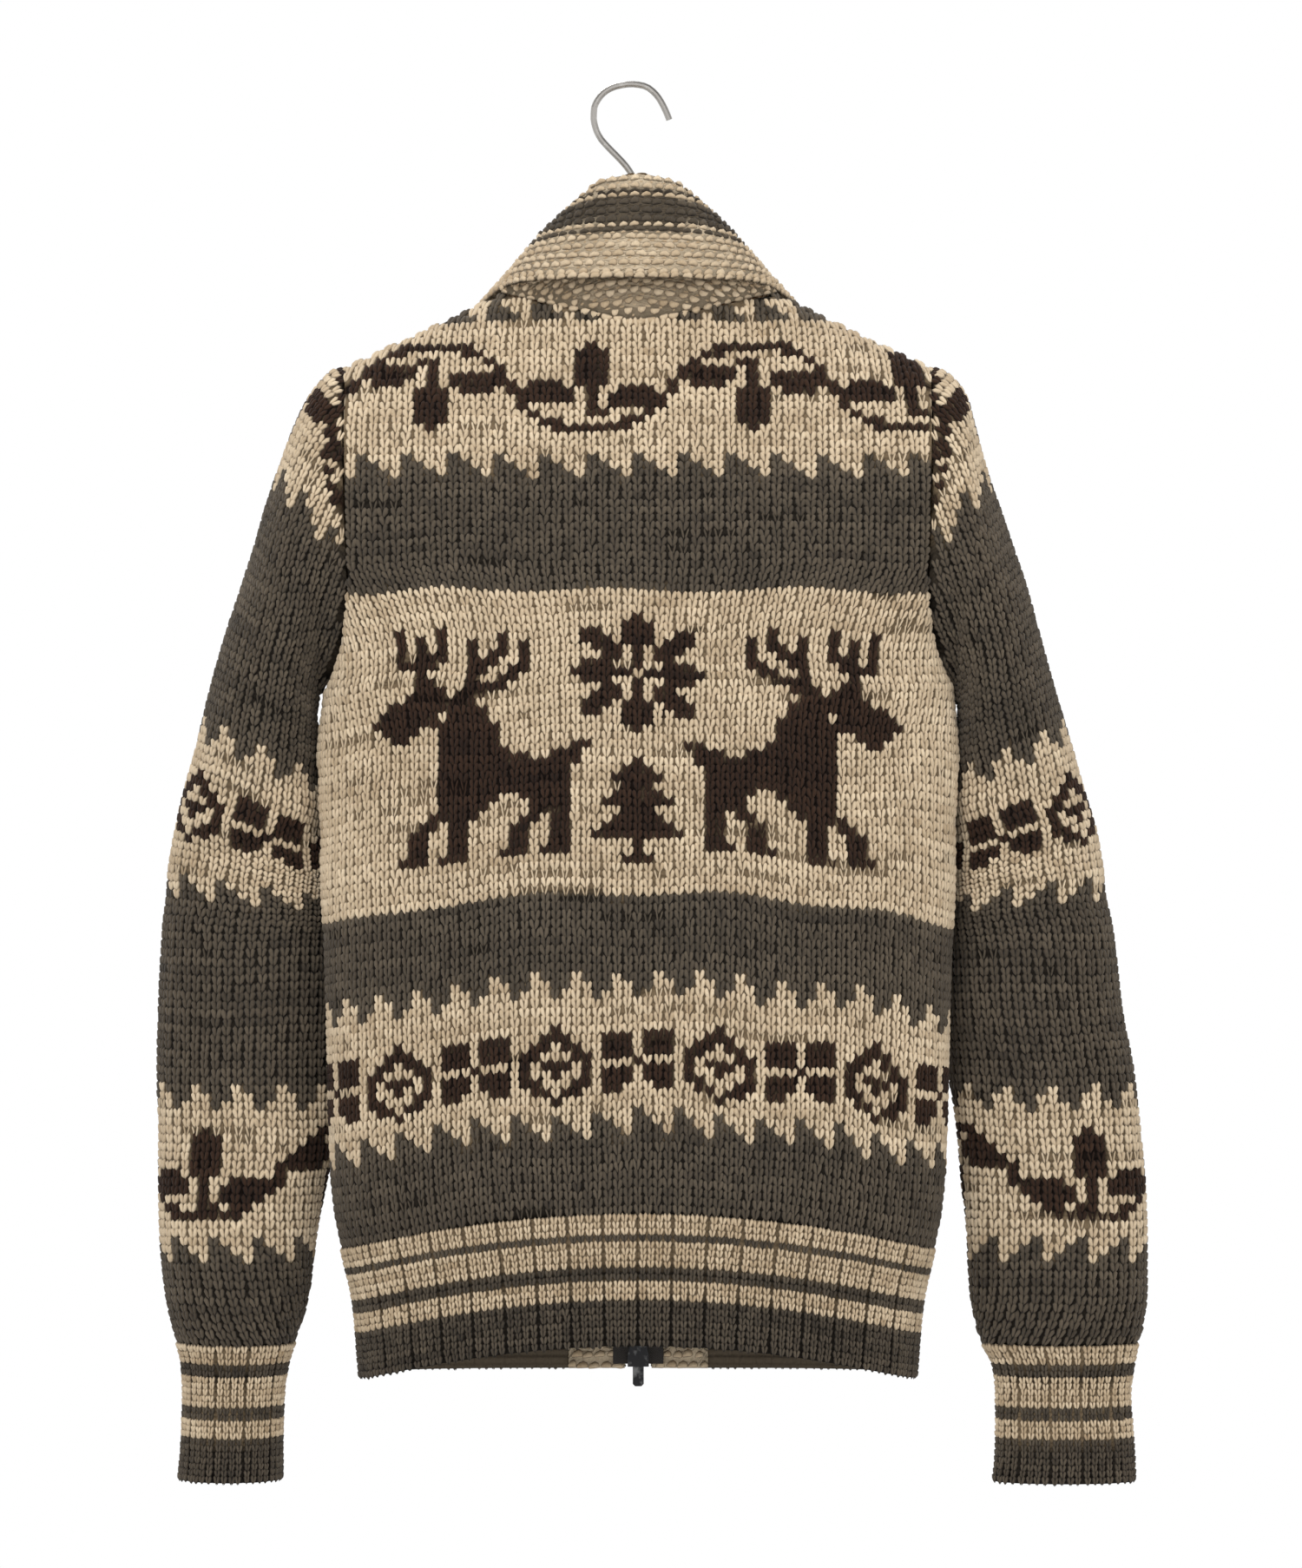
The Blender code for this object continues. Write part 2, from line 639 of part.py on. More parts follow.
def combined(name, added, cut, finish, origin):
    """One solid from several, joined, with the last ones cut out, and its origin at a given place."""
    target = to_mesh(name, *added[0], finish, origin, sharp=30)
    helpers = []
    for operation, shapes in (("UNION", added[1:]), ("DIFFERENCE", cut)):
        for shape in shapes:
            helper = to_mesh("helper", *shape, finish, origin)
            helpers.append(helper)
            modifier = target.modifiers.new("join", "BOOLEAN")
            modifier.operation = operation
            modifier.solver = "EXACT"
            modifier.object = helper
    bpy.context.view_layer.update()
    graph = bpy.context.evaluated_depsgraph_get()
    mesh = bpy.data.meshes.new_from_object(target.evaluated_get(graph))
    target.modifiers.clear()
    target.data = mesh
    mesh.name = name
    mesh.set_sharp_from_angle(angle=math.radians(30))
    for helper in helpers:
        bpy.data.objects.remove(helper, do_unlink=True)
    return target


def add_slider(name, tab_name, centre_z, post_up, finish):
    """A slider of two plates and a post, with a pin on its front, and the pull tab that swings on it."""
    half, wide = SLIDER_HEIGHT / 2, SLIDER_WIDTH / 2
    narrow = wide - 1.6
    front_face = ZIP_Y - SLIDER_HALF_GAP - SLIDER_PLATE
    plate = [(-narrow, -half), (narrow, -half), (wide, 1.0), (wide, half), (-wide, half), (-wide, 1.0)]
    if not post_up:
        plate = [(x, -z) for x, z in reversed(plate)]
    plate = [(x, z + centre_z) for x, z in plate]
    post_low, post_high = half - POST_HEIGHT, half
    if not post_up:
        post_low, post_high = -post_high, -post_low
    post = box_outline(POST_WIDTH / 2, centre_z + post_low, centre_z + post_high)
    pin_y = front_face - PIN_REACH
    pin_z = centre_z + 1.0
    added = [
        prism(plate, front_face, ZIP_Y - SLIDER_HALF_GAP),
        prism(plate, ZIP_Y + SLIDER_HALF_GAP, ZIP_Y + SLIDER_HALF_GAP + SLIDER_PLATE),
        prism(post, ZIP_Y - SLIDER_HALF_GAP - 0.5, ZIP_Y + SLIDER_HALF_GAP + 0.5),
    ]
    for side in (-1, 1):
        middle = side * (LUG_INNER + LUG_WIDTH / 2)
        lug = [(x + middle, z) for x, z in box_outline(LUG_WIDTH / 2, pin_z - LUG_HEIGHT / 2, pin_z + LUG_HEIGHT / 2)]
        added.append(prism(lug, pin_y - 1.6, front_face + 0.5))
    pin = (0.0, pin_y, pin_z)
    added.append(rod(LUG_INNER + 0.5, PIN_RADIUS, pin))
    combined(name, added, [], finish, (0.0, ZIP_Y, centre_z))
    add_tab(tab_name, pin, finish)


def add_tab(name, pin, finish):
    """The pull tab, hanging straight down, with its origin on the pin's axis."""
    neck, wide = KNUCKLE_HALF, TAB_WIDTH / 2
    corner = 1.5
    side = [(neck, -1.0), (neck, -TAB_NECK), (wide, -TAB_NECK - 1.2), (wide, corner - TAB_LENGTH), (wide - corner, -TAB_LENGTH)]
    outline = [(-x, z) for x, z in side] + [(x, z) for x, z in reversed(side)]
    outline = [(x + pin[0], z + pin[2]) for x, z in outline]
    added = [
        rod(KNUCKLE_HALF, KNUCKLE_RADIUS, pin),
        prism(outline, pin[1] - TAB_WALL / 2, pin[1] + TAB_WALL / 2),
    ]
    combined(name, added, [rod(KNUCKLE_HALF + 1.0, BORE_RADIUS, pin)], finish, pin)


def loft(name, rings, finish):
    """A solid through rings of points, closed at both ends."""
    rings = np.asarray(rings)
    count, sides = rings.shape[:2]
    faces = [tuple(range(sides - 1, -1, -1)), tuple((count - 1) * sides + k for k in range(sides))]
    for r in range(count - 1):
        for k in range(sides):
            a, b = r * sides + k, r * sides + (k + 1) % sides
            faces.append((a, b, b + sides, a + sides))
    return to_mesh(name, rings, faces, finish)


def hanger_top(x):
    """Level of the hanger's top: under the shoulder seams, and rising to the hook at its neck."""
    arm = shoulder_z(np.maximum(np.abs(x), HANGER_NECK_X)) - HANGER_DROP
    share = (np.abs(x) - HANGER_NECK_FLAT) / (HANGER_NECK_X - HANGER_NECK_FLAT)
    rise = np.cos(np.clip(share, 0, 1) * math.pi / 2) ** 2
    foot = shoulder_z(HANGER_NECK_X) - HANGER_DROP
    return arm + rise * (HANGER_NECK_Z - foot)


def add_hanger(finish):
    x = np.array([-165, -161, -140, -110, -85, -60, -40, -24, -10, 10, 24, 40, 60, 85, 110, 140, 161, 165], float)
    top = hanger_top(x) - np.where(np.abs(x) > 164, 3.0, 0.0)
    height = 14 + 20 * (1 - np.abs(x) / HANGER_REACH)
    height = np.where(np.abs(x) > 164, 8.0, height)
    rings = []
    for k in range(len(x)):
        low, high = top[k] - height[k], top[k]
        wide, narrow = HANGER_HALF_DEPTH, HANGER_HALF_DEPTH - HANGER_CHAMFER
        section = [(wide, low + HANGER_CHAMFER), (wide, high - HANGER_CHAMFER), (narrow, high), (-narrow, high)]
        section += [(-wide, high - HANGER_CHAMFER), (-wide, low + HANGER_CHAMFER), (-narrow, low), (narrow, low)]
        rings.append([(x[k], y, z) for y, z in section])
    loft("hanger", rings, finish)


def add_hook(finish):
    stations = np.arange(len(HOOK["x"]), dtype=float)
    steps = np.linspace(0, stations[-1], WIRE_RINGS)
    path = np.stack([smooth(steps, stations, HOOK["x"]), smooth(steps, stations, HOOK["z"])], axis=-1)
    forward = unit(np.gradient(path, axis=0))
    rings = []
    for (x, z), (dx, dz) in zip(path, forward):
        ring = []
        for k in range(WIRE_SIDES):
            angle = 2 * math.pi * k / WIRE_SIDES
            out = WIRE_RADIUS * math.cos(angle)
            ring.append((x - dz * out, -WIRE_RADIUS * math.sin(angle), z + dx * out))
        rings.append(ring)
    loft("hook", rings, finish)


clear_scene()
KNIT = material("knit_wool", (0.62, 0.52, 0.38))
GREY = material("grey_wool", (0.12, 0.10, 0.08))
CREAM = material("cream_wool", (0.68, 0.57, 0.42))
TAPE = material("zip_tape", (0.06, 0.05, 0.045))
DARK_METAL = material("dark_metal", (0.09, 0.09, 0.095), 1.0, 0.4)
STEEL = material("brushed_steel", (0.55, 0.55, 0.56), 1.0, 0.3)
WOOD = material("hanger_wood", (0.35, 0.2, 0.1), 0.0, 0.45)
add_back(KNIT)
add_fronts(KNIT)
add_hem(GREY)
add_sleeve("sleeve_left", LEFT_SLEEVE, 1, KNIT)
add_sleeve("sleeve_right", RIGHT_SLEEVE, -1, KNIT)
add_cuff("cuff_left", LEFT_CUFF, 1, GREY)
add_cuff("cuff_right", RIGHT_CUFF, -1, GREY)
add_bands(CREAM)
add_collar(CREAM)
add_tapes(TAPE)
add_slider("slider_top", "pull_tab_top", TOP_SLIDER_Z, True, DARK_METAL)
add_slider("slider_bottom", "pull_tab_bottom", BOTTOM_SLIDER_Z, False, DARK_METAL)
add_hanger(WOOD)
add_hook(STEEL)
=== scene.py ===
"""Looks of a zipped shawl-collar sweater in bulky pictorial knit, hung on a plain hanger.

The frame's origin is the inner top of the hook, the front faces -Y, the wearer's left is +X and Z is up.
Sizes are in millimetres, and make_mesh turns them into metres. Each cloth piece is a thin shell on the
form of its solid, with its stitches planted on it row by row.
"""

import logging
import math
from dataclasses import dataclass, field, replace
from enum import Enum

import bpy
import numpy as np
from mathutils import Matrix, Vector, kdtree


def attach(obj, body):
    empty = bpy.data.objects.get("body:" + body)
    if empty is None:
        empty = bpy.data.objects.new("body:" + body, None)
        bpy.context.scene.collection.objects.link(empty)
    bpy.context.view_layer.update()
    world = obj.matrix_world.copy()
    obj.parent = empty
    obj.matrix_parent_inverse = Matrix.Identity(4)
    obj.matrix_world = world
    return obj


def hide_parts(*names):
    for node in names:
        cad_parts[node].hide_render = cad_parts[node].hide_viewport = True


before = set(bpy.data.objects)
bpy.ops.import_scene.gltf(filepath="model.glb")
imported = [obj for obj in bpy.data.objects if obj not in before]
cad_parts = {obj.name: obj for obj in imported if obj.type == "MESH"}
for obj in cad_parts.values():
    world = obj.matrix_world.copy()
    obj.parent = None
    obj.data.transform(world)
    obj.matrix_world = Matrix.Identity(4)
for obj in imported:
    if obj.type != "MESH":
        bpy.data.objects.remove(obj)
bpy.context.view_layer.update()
LOG = logging.getLogger("sweater")
MM = 0.001
MIRROR = np.array([-1.0, 1.0, 1.0])
Points = np.ndarray


class Yarn(Enum):
    """The three yarns of the sweater."""

    CREAM = 0
    GREY = 1
    BROWN = 2


def columns(names: str, rows: list[tuple]) -> dict[str, Points]:
    """Read a table with named columns.

    Args:
        names: The columns' names, split by spaces.
        rows: One tuple for each row.

    Returns:
        Each column's values by its name.
    """
    return dict(zip(names.split(), np.array(rows, float).T))


def smooth(x: Points, xs: Points, ys: Points) -> Points:
    """Follow a smooth curve through a table's points that never passes beyond them.

    Args:
        x: Where the curve is read.
        xs: The table's rising places.
        ys: The table's values.

    Returns:
        The curve's values at x.
    """
    secants = np.diff(ys) / np.diff(xs)
    before, after = secants[:-1], secants[1:]
    same_way = before * after > 0
    inner = np.where(same_way, 2 * before * after / np.where(same_way, before + after, 1), 0)
    slopes = np.concatenate([secants[:1], inner, secants[-1:]])
    x = np.clip(x, xs[0], xs[-1])
    i = np.clip(np.searchsorted(xs, x, side="right") - 1, 0, len(xs) - 2)
    step = xs[i + 1] - xs[i]
    t = (x - xs[i]) / step
    start = (1 + 2 * t) * (1 - t) ** 2 * ys[i] + t * (1 - t) ** 2 * step * slopes[i]
    return start + t**2 * (3 - 2 * t) * ys[i + 1] + t**2 * (t - 1) * step * slopes[i + 1]


def arch(s: Points) -> Points:
    """A quarter round, 0 at the start of a roll and 1 where it has turned fully down."""
    return np.sqrt(1 - (1 - np.clip(s, 0, 1)) ** 2)


def unit(vectors: Points) -> Points:
    """The vectors at length one."""
    return vectors / np.maximum(np.linalg.norm(vectors, axis=-1, keepdims=True), 1e-9)


def normals_of(grid: Points, wrap: bool = False) -> Points:
    """Work out the outward directions of a grid of points.

    Args:
        grid: Points with rows upwards and columns to the right, seen from outside.
        wrap: Whether the last column meets the first.

    Returns:
        One unit vector for each point.
    """
    if wrap:
        ring = np.concatenate([grid[:, -1:], grid, grid[:, :1]], axis=1)
        across = np.gradient(ring, axis=1)[:, 1:-1]
    else:
        across = np.gradient(grid, axis=1)
    return unit(np.cross(across, np.gradient(grid, axis=0)))


def lengths_along(line: Points) -> Points:
    """How far each point of a line lies from its first, along it."""
    return np.append(0, np.cumsum(np.linalg.norm(np.diff(line, axis=0), axis=1)))


def read_along(places: Points, lengths: Points, line: Points) -> Points:
    """Points of a line at distances along it."""
    return np.stack([np.interp(places, lengths, line[:, k]) for k in range(3)], axis=-1)


def mirrored(points: Points) -> Points:
    """The same grid on the wearer's other side, still facing outwards."""
    return points[:, ::-1] * MIRROR


def around(count: int, first: float = -1.0, last: float = 1.0) -> Points:
    """Shares of the half-width from first to last, closer together where the body turns at the side."""
    return np.sin(np.linspace(math.asin(first), math.asin(last), count + 1))


@dataclass(frozen=True)
class Crease:
    """A soft trough or ridge along a line on the cloth, seen from the back or the front."""

    start: tuple[float, float]
    end: tuple[float, float]
    width: float
    rise: float
    face: int = 0  # 1 on the back, -1 on the front, 0 on both

    def lift(self, x: Points, z: Points, y: Points) -> Points:
        """Work out how far the cloth is raised.

        Args:
            x: Places across.
            z: Levels.
            y: Depths, which tell the back from the front.

        Returns:
            The rise in millimetres, below zero in a trough.
        """
        (x0, z0), (x1, z1) = self.start, self.end
        run = math.hypot(x1 - x0, z1 - z0)
        dx, dz = (x1 - x0) / run, (z1 - z0) / run
        t = np.clip(((x - x0) * dx + (z - z0) * dz) / run, 0, 1)
        away = np.hypot(x - x0 - t * run * dx, z - z0 - t * run * dz) / self.width
        ends = np.sin(math.pi * (0.12 + 0.76 * t))
        side = 1.0 if self.face == 0 else np.clip(0.5 + self.face * y / 30.0, 0, 1)
        return self.rise * ends * np.exp(-(away**2)) * side


def lift_of(points: Points, creases: tuple[Crease, ...]) -> Points:
    """How far all creases raise each of the points."""
    x, y, z = points[..., 0], points[..., 1], points[..., 2]
    return sum((crease.lift(x, z, y) for crease in creases), 0.0 * x)[..., None]


def folded(grid: Points, creases: tuple[Crease, ...], wrap: bool = False) -> Points:
    """Raise and sink a grid of cloth along its creases.

    Args:
        grid: Points of the plain form, rows upwards and columns to the right seen from outside.
        creases: The creases that cross it.
        wrap: Whether the last column meets the first.

    Returns:
        The grid with its creases.
    """
    return grid + lift_of(grid, creases) * normals_of(grid, wrap)


# Half-width of the body by level: the armhole seam above the underarm, the side seam below it.
EDGE = columns(
    "z half",
    [
        (-802, 172), (-756, 176), (-724, 183), (-700, 188), (-670, 191), (-615, 192.5),
        (-540, 194.5), (-486, 197), (-430, 196.5), (-378, 195.5), (-366, 190), (-345, 183),
        (-313, 179), (-253, 181), (-199, 182), (-175, 182),
    ],
)
# Depth of the back and of the front at the centre, by level.
DEPTH = columns(
    "z back front",
    [
        (-802, 62, 70), (-740, 66, 70), (-700, 70, 70), (-620, 72, 70), (-500, 70, 70),
        (-378, 66, 70), (-300, 60, 70), (-248, 56, 70), (-200, 50, 60), (-149, 44, 44), (-120, 40, 36),
    ],
)
# How far a knit row is lower at the side seam than at the centre of the back, by level there.
BOW = columns(
    "z drop",
    [(-777, 25), (-696, 26), (-640, 25), (-560, 24), (-500, 22), (-430, 12), (-370, 5), (-313, 0), (-100, 0)],
)


@dataclass(frozen=True)
class BodyForm:
    """The outer form of the back and the fronts."""

    neck_side_x: float = 86.0
    neck_side_z: float = -129.0
    neck_back_drop: float = 20.0
    neck_back_y: float = 38.0
    neck_curve: float = 1.2
    shoulder_x: float = 182.0
    shoulder_z: float = -175.0
    underarm_z: float = -378.0
    v_point_z: float = -248.0
    back_rib_top_z: float = -696.0
    back_hem_z: float = -777.0
    front_rib_top_z: float = -715.0
    front_hem_z: float = -804.0
    side_rib_top_z: float = -722.0
    side_hem_z: float = -802.0
    roundness: float = 2.4
    armhole_depth: float = 45.0
    shoulder_roll: float = 95.0
    front_depth: float = 70.0
    band_outer_x: float = 44.6
    seam: float = 0.4

    def half(self, z: Points) -> Points:
        """Half-width of the body at a level."""
        return smooth(z, EDGE["z"], EDGE["half"])

    def edge_depth(self, z: Points) -> Points:
        """Depth of a panel at the armhole seam: full down to its middle, then less down to the underarm."""
        middle = (self.shoulder_z + self.underarm_z) / 2
        t = np.clip((middle - z) / (middle - self.underarm_z), 0, 1)
        return self.armhole_depth * (1 - t**2)

    def shoulder(self, x: Points) -> Points:
        """Level of the shoulder seam."""
        slope = (self.shoulder_z - self.neck_side_z) / (self.shoulder_x - self.neck_side_x)
        return self.neck_side_z + slope * (np.abs(x) - self.neck_side_x)

    def top(self, x: Points, front: bool) -> tuple[Points, Points]:
        """Find a panel's top edge.

        Args:
            x: Places across.
            front: Whether the panel is a front.

        Returns:
            The edge's level, and how far it stands from the plane of the arms.
        """
        if front:
            share = np.clip((self.neck_side_x - np.abs(x)) / (self.neck_side_x - self.band_outer_x), 0, 1)
            neck = self.neck_side_z + (self.v_point_z - self.neck_side_z) * share**1.15
            depth = self.front_depth * arch(share * 1.3)
        else:
            share = np.clip(np.abs(x) / self.neck_side_x, 0, 1)
            neck = self.neck_side_z - self.neck_back_drop * (1 - share**self.neck_curve)
            depth = self.neck_back_y * np.sqrt(1 - share**2)
        return np.where(np.abs(x) > self.neck_side_x, self.shoulder(x), neck), depth

    def depth(self, x: Points, z: Points, front: bool) -> Points:
        """Find how far a panel's outer face stands from the plane of the arms.

        Args:
            x: Places across.
            z: Levels.
            front: Whether the panel is a front.

        Returns:
            The depth in millimetres.
        """
        top_z, top_y = self.top(x, front)
        middle = smooth(z, DEPTH["z"], DEPTH["front" if front else "back"])
        edge = np.where(z > self.underarm_z, self.edge_depth(z), 0)
        u = np.clip(np.abs(x) / self.half(z), 0, 1)
        full = edge + (middle - edge) * np.clip(1 - u**self.roundness, 0, 1) ** (1 / self.roundness)
        s = (top_z - z) / self.shoulder_roll
        neckness = np.clip(top_y / 20, 0, 1)
        turn = neckness * np.sin(np.clip(s, 0, 1) * math.pi / 2) + (1 - neckness) * arch(s)
        return top_y + (full - top_y) * turn

    def at(self, x: Points, z: Points, front: bool) -> Points:
        """Points of the body's outer face at x and z."""
        y = self.depth(x, z, front)
        return np.stack([x, -y if front else y, z], axis=-1)

    def row(self, u: Points, centre_z: float, front: bool) -> Points:
        """Follow one knit row across a panel.

        Args:
            u: Shares of the half-width, 0 at the centre.
            centre_z: The row's level at the centre.
            front: Whether the panel is a front.

        Returns:
            The row's points.
        """
        if front:
            rib, side = self.front_rib_top_z, self.side_rib_top_z
            share = np.clip((centre_z - self.underarm_z) / (rib - self.underarm_z), 0, 1)
            drop = -share * (side - rib)
        else:
            drop = smooth(np.array(centre_z), BOW["z"], BOW["drop"])
        z = centre_z - drop * u**2
        return self.at(self.half(z) * u, z, front)


@dataclass
class StitchRows:
    """Rows of stitches on a surface, each with its place, its frame and its yarn."""

    place: list[Points] = field(default_factory=list)
    across: list[Points] = field(default_factory=list)
    up: list[Points] = field(default_factory=list)
    column: list[Points] = field(default_factory=list)
    row: list[Points] = field(default_factory=list)

    def add_rows(self, lines: list[Points], starts: list[float], pitches: list[float], first_row: int = 0) -> None:
        """Set stitches at even steps along each of a family of lines.

        Args:
            lines: One line of points for each row, to the right seen from outside, lowest row first.
            starts: How far along each line its column 0 begins.
            pitches: The width of a stitch in each row.
            first_row: The number of the lowest row.
        """
        lengths = [lengths_along(line) for line in lines]

        def read(j: int, column: Points) -> Points:
            """Points of row j at the middle of each column."""
            return read_along(starts[j] + (column + 0.5) * pitches[j], lengths[j], lines[j])

        for j in range(len(lines)):
            low = math.ceil(-starts[j] / pitches[j] - 0.35)
            high = math.floor((lengths[j][-1] - starts[j]) / pitches[j] - 0.65)
            if high < low:
                continue
            column = np.arange(low, high + 1, dtype=float)
            above, below = min(j + 1, len(lines) - 1), max(j - 1, 0)
            self.place.append(read(j, column))
            self.across.append(read(j, column + 0.5) - read(j, column - 0.5))
            self.up.append((read(above, column) - read(below, column)) / max(above - below, 1))
            self.column.append(column.astype(int))
            self.row.append(np.full(len(column), first_row + j))

    def joined(self) -> "StitchRows":
        """The same stitches with each list run together into one array."""
        return StitchRows(*([np.concatenate(part)] for part in vars(self).values()))

    def kept(self, mask: Points) -> "StitchRows":
        """The stitches that a mask keeps, once they are joined."""
        return StitchRows(*([part[0][mask]] for part in vars(self).values()))

    def with_rows(self, other: "StitchRows") -> "StitchRows":
        """These stitches and others after them, joined."""
        return StitchRows(*(own + more for own, more in zip(vars(self).values(), vars(other).values()))).joined()

    def flipped(self) -> "StitchRows":
        """The same stitches on the wearer's other side, still facing outwards, once they are joined."""
        place, across, up = self.place[0], self.across[0], self.up[0]
        return StitchRows([place * MIRROR], [-across * MIRROR], [up * MIRROR], list(self.column), list(self.row))


def make_mesh(
    name: str, points: Points, faces: list[tuple], finish: bpy.types.Material, sharp: float = 180.0
) -> bpy.types.Object:
    """Make a smooth object at the origin from points in millimetres.

    Args:
        name: The object's name.
        points: The mesh's points.
        faces: Its faces, by the numbers of their points.
        finish: Its material.
        sharp: The angle in degrees past which an edge stays sharp.

    Returns:
        The object, in the scene.
    """
    mesh = bpy.data.meshes.new(name)
    mesh.from_pydata((np.asarray(points, float).reshape(-1, 3) * MM).tolist(), [], faces)
    mesh.materials.append(finish)
    mesh.polygons.foreach_set("use_smooth", [True] * len(mesh.polygons))
    if sharp < 180:
        mesh.set_sharp_from_angle(angle=math.radians(sharp))
    mesh.update()
    obj = bpy.data.objects.new(name, mesh)
    bpy.context.scene.collection.objects.link(obj)
    return obj


def shell_faces(rows: int, cols: int, wrap: bool) -> list[tuple]:
    """Number the faces of a closed wall.

    Args:
        rows: Rows of points on each side.
        cols: Columns of points.
        wrap: Whether the last column meets the first.

    Returns:
        Faces over the outer points, which come first row by row, and then the inner ones.
    """
    inner, last, faces = rows * cols, cols if wrap else cols - 1, []
    for r in range(rows - 1):
        for c in range(last):
            a, b = r * cols + c, r * cols + (c + 1) % cols
            faces.append((a, b, b + cols, a + cols))
            faces.append((inner + a + cols, inner + b + cols, inner + b, inner + a))
    for c in range(last):
        a, b = c, (c + 1) % cols
        faces.append((inner + a, inner + b, b, a))
        a, b = a + (rows - 1) * cols, b + (rows - 1) * cols
        faces.append((a, b, inner + b, inner + a))
    if not wrap:
        for r in range(rows - 1):
            a = r * cols
            faces.append((a, a + cols, inner + a + cols, inner + a))
            a += cols - 1
            faces.append((inner + a, inner + a + cols, a + cols, a))
    return faces


def bar_faces(rings: int, count: int) -> list[tuple]:
    """Number the faces of a closed bar.

    Args:
        rings: Rings of points along the bar.
        count: Points in each ring.

    Returns:
        The first end, the last end and the sides.
    """
    total = rings * count
    faces = [tuple(range(count)), tuple(range(total - 1, total - count - 1, -1))]
    for r in range(rings - 1):
        for k in range(count):
            a, b = r * count + k, r * count + (k + 1) % count
            faces.append((a, a + count, b + count, b))
    return faces


class Tree:
    """A short way to add and join nodes."""

    def __init__(self, nodes: bpy.types.NodeTree) -> None:
        """Hold the tree that the nodes go into."""
        self.tree = nodes

    def add(self, kind: str, inputs: dict | None = None, **settings: object) -> bpy.types.Node:
        """Add a node.

        Args:
            kind: The node's type.
            inputs: Values or sockets by input name or number.
            settings: The node's own settings.

        Returns:
            The node.
        """
        node = self.tree.nodes.new(kind)
        for key, value in settings.items():
            setattr(node, key, value)
        for key, value in (inputs or {}).items():
            if isinstance(value, bpy.types.NodeSocket):
                self.tree.links.new(value, node.inputs[key])
            else:
                node.inputs[key].default_value = value
        return node

    def math(self, operation: str, first: object, second: object = 0.0) -> bpy.types.NodeSocket:
        """The result of a sum on two values or sockets."""
        return self.add("ShaderNodeMath", {0: first, 1: second}, operation=operation).outputs[0]

    def mix(self, share: object, first: object, second: object, blend: str = "MIX") -> bpy.types.NodeSocket:
        """A colour between two, by a share."""
        node = self.add("ShaderNodeMix", {0: share, 6: first, 7: second}, data_type="RGBA", blend_type=blend)
        return node.outputs[2]

    def noise(
        self, place: bpy.types.NodeSocket, scale: float, detail: float = 3.0, rough: float = 0.55
    ) -> bpy.types.NodeSocket:
        """Noise of a scale, read at a place."""
        node = self.add("ShaderNodeTexNoise", {"Vector": place, "Scale": scale, "Detail": detail, "Roughness": rough})
        return node.outputs[0]

    def link(self, socket: bpy.types.NodeSocket, shader: bpy.types.Node, key: str) -> None:
        """Join a socket to one of a shader's inputs."""
        self.tree.links.new(socket, shader.inputs[key])

    def bump(self, shader: bpy.types.Node, strength: float, distance: float, height: bpy.types.NodeSocket) -> None:
        """Give a shader small bumps, their distance in metres."""
        bumps = self.add("ShaderNodeBump", {"Strength": strength, "Distance": distance, "Height": height})
        self.link(bumps.outputs[0], shader, "Normal")


def new_material(name: str, settings: dict[str, float]) -> tuple[bpy.types.Material, Tree, bpy.types.Node]:
    """Start a material.

    Args:
        name: The material's name.
        settings: The values of the shader's plain inputs.

    Returns:
        The material, its tree and its shader.
    """
    made = bpy.data.materials.new(name)
    made.use_nodes = True
    shader = made.node_tree.nodes["Principled BSDF"]
    for key, value in settings.items():
        shader.inputs[key].default_value = value
    return made, Tree(made.node_tree), shader


@dataclass(frozen=True)
class Wool:
    """Bulky single-ply wool: matt, hairy, and uneven in colour along the yarn."""

    name: str
    light: tuple[float, float, float]
    deep: tuple[float, float, float]
    sheen: float = 0.15
    # the share of the deep colour that the painted shade reaches at the foot and sides of each leg
    shade_in_hollows: float = 0.2

    def build(self) -> bpy.types.Material:
        """Build the yarn's material, whose tone follows each stitch, with painted shade towards the foot and sides of
        each leg.
        """
        settings = {"Roughness": 0.92, "Specular IOR Level": 0.12, "Sheen Weight": self.sheen, "Sheen Roughness": 0.6}
        made, tree, shader = new_material(self.name, settings)
        place = tree.add("ShaderNodeTexCoord").outputs["Object"]
        tone = tree.add("ShaderNodeAttribute", attribute_name="tone").outputs["Fac"]
        patch = tree.noise(place, 45.0, 3.0)
        fibre = tree.noise(place, 900.0, 4.0, 0.65)
        share = tree.math("ADD", tree.math("MULTIPLY", tone, 0.55), tree.math("MULTIPLY", patch, 0.5))
        share = tree.math("ADD", share, tree.math("MULTIPLY", tree.math("SUBTRACT", fibre, 0.5), 0.5))
        colour = tree.mix(tree.add("ShaderNodeClamp", {0: share}).outputs[0], (*self.deep, 1), (*self.light, 1))
        # Painted shade: each leg darkens from its crest towards its foot, head and sides, down to a share of the deep
        # colour.
        crest = tree.add("ShaderNodeAttribute", attribute_name="crest").outputs["Fac"]
        crest = tree.add("ShaderNodeMapRange", {0: crest, 1: 0.0, 2: 0.8}, interpolation_type="SMOOTHSTEP").outputs[0]
        low = (*(self.shade_in_hollows * value for value in self.deep), 1)
        tree.link(tree.mix(crest, low, colour), shader, "Base Color")
        drawn = tree.add("ShaderNodeMapping", {0: place, 3: (1.0, 1.0, 0.35)}).outputs[0]
        tree.bump(shader, 0.55, 0.0006, tree.noise(drawn, 1500.0, 3.0, 0.7))
        return made


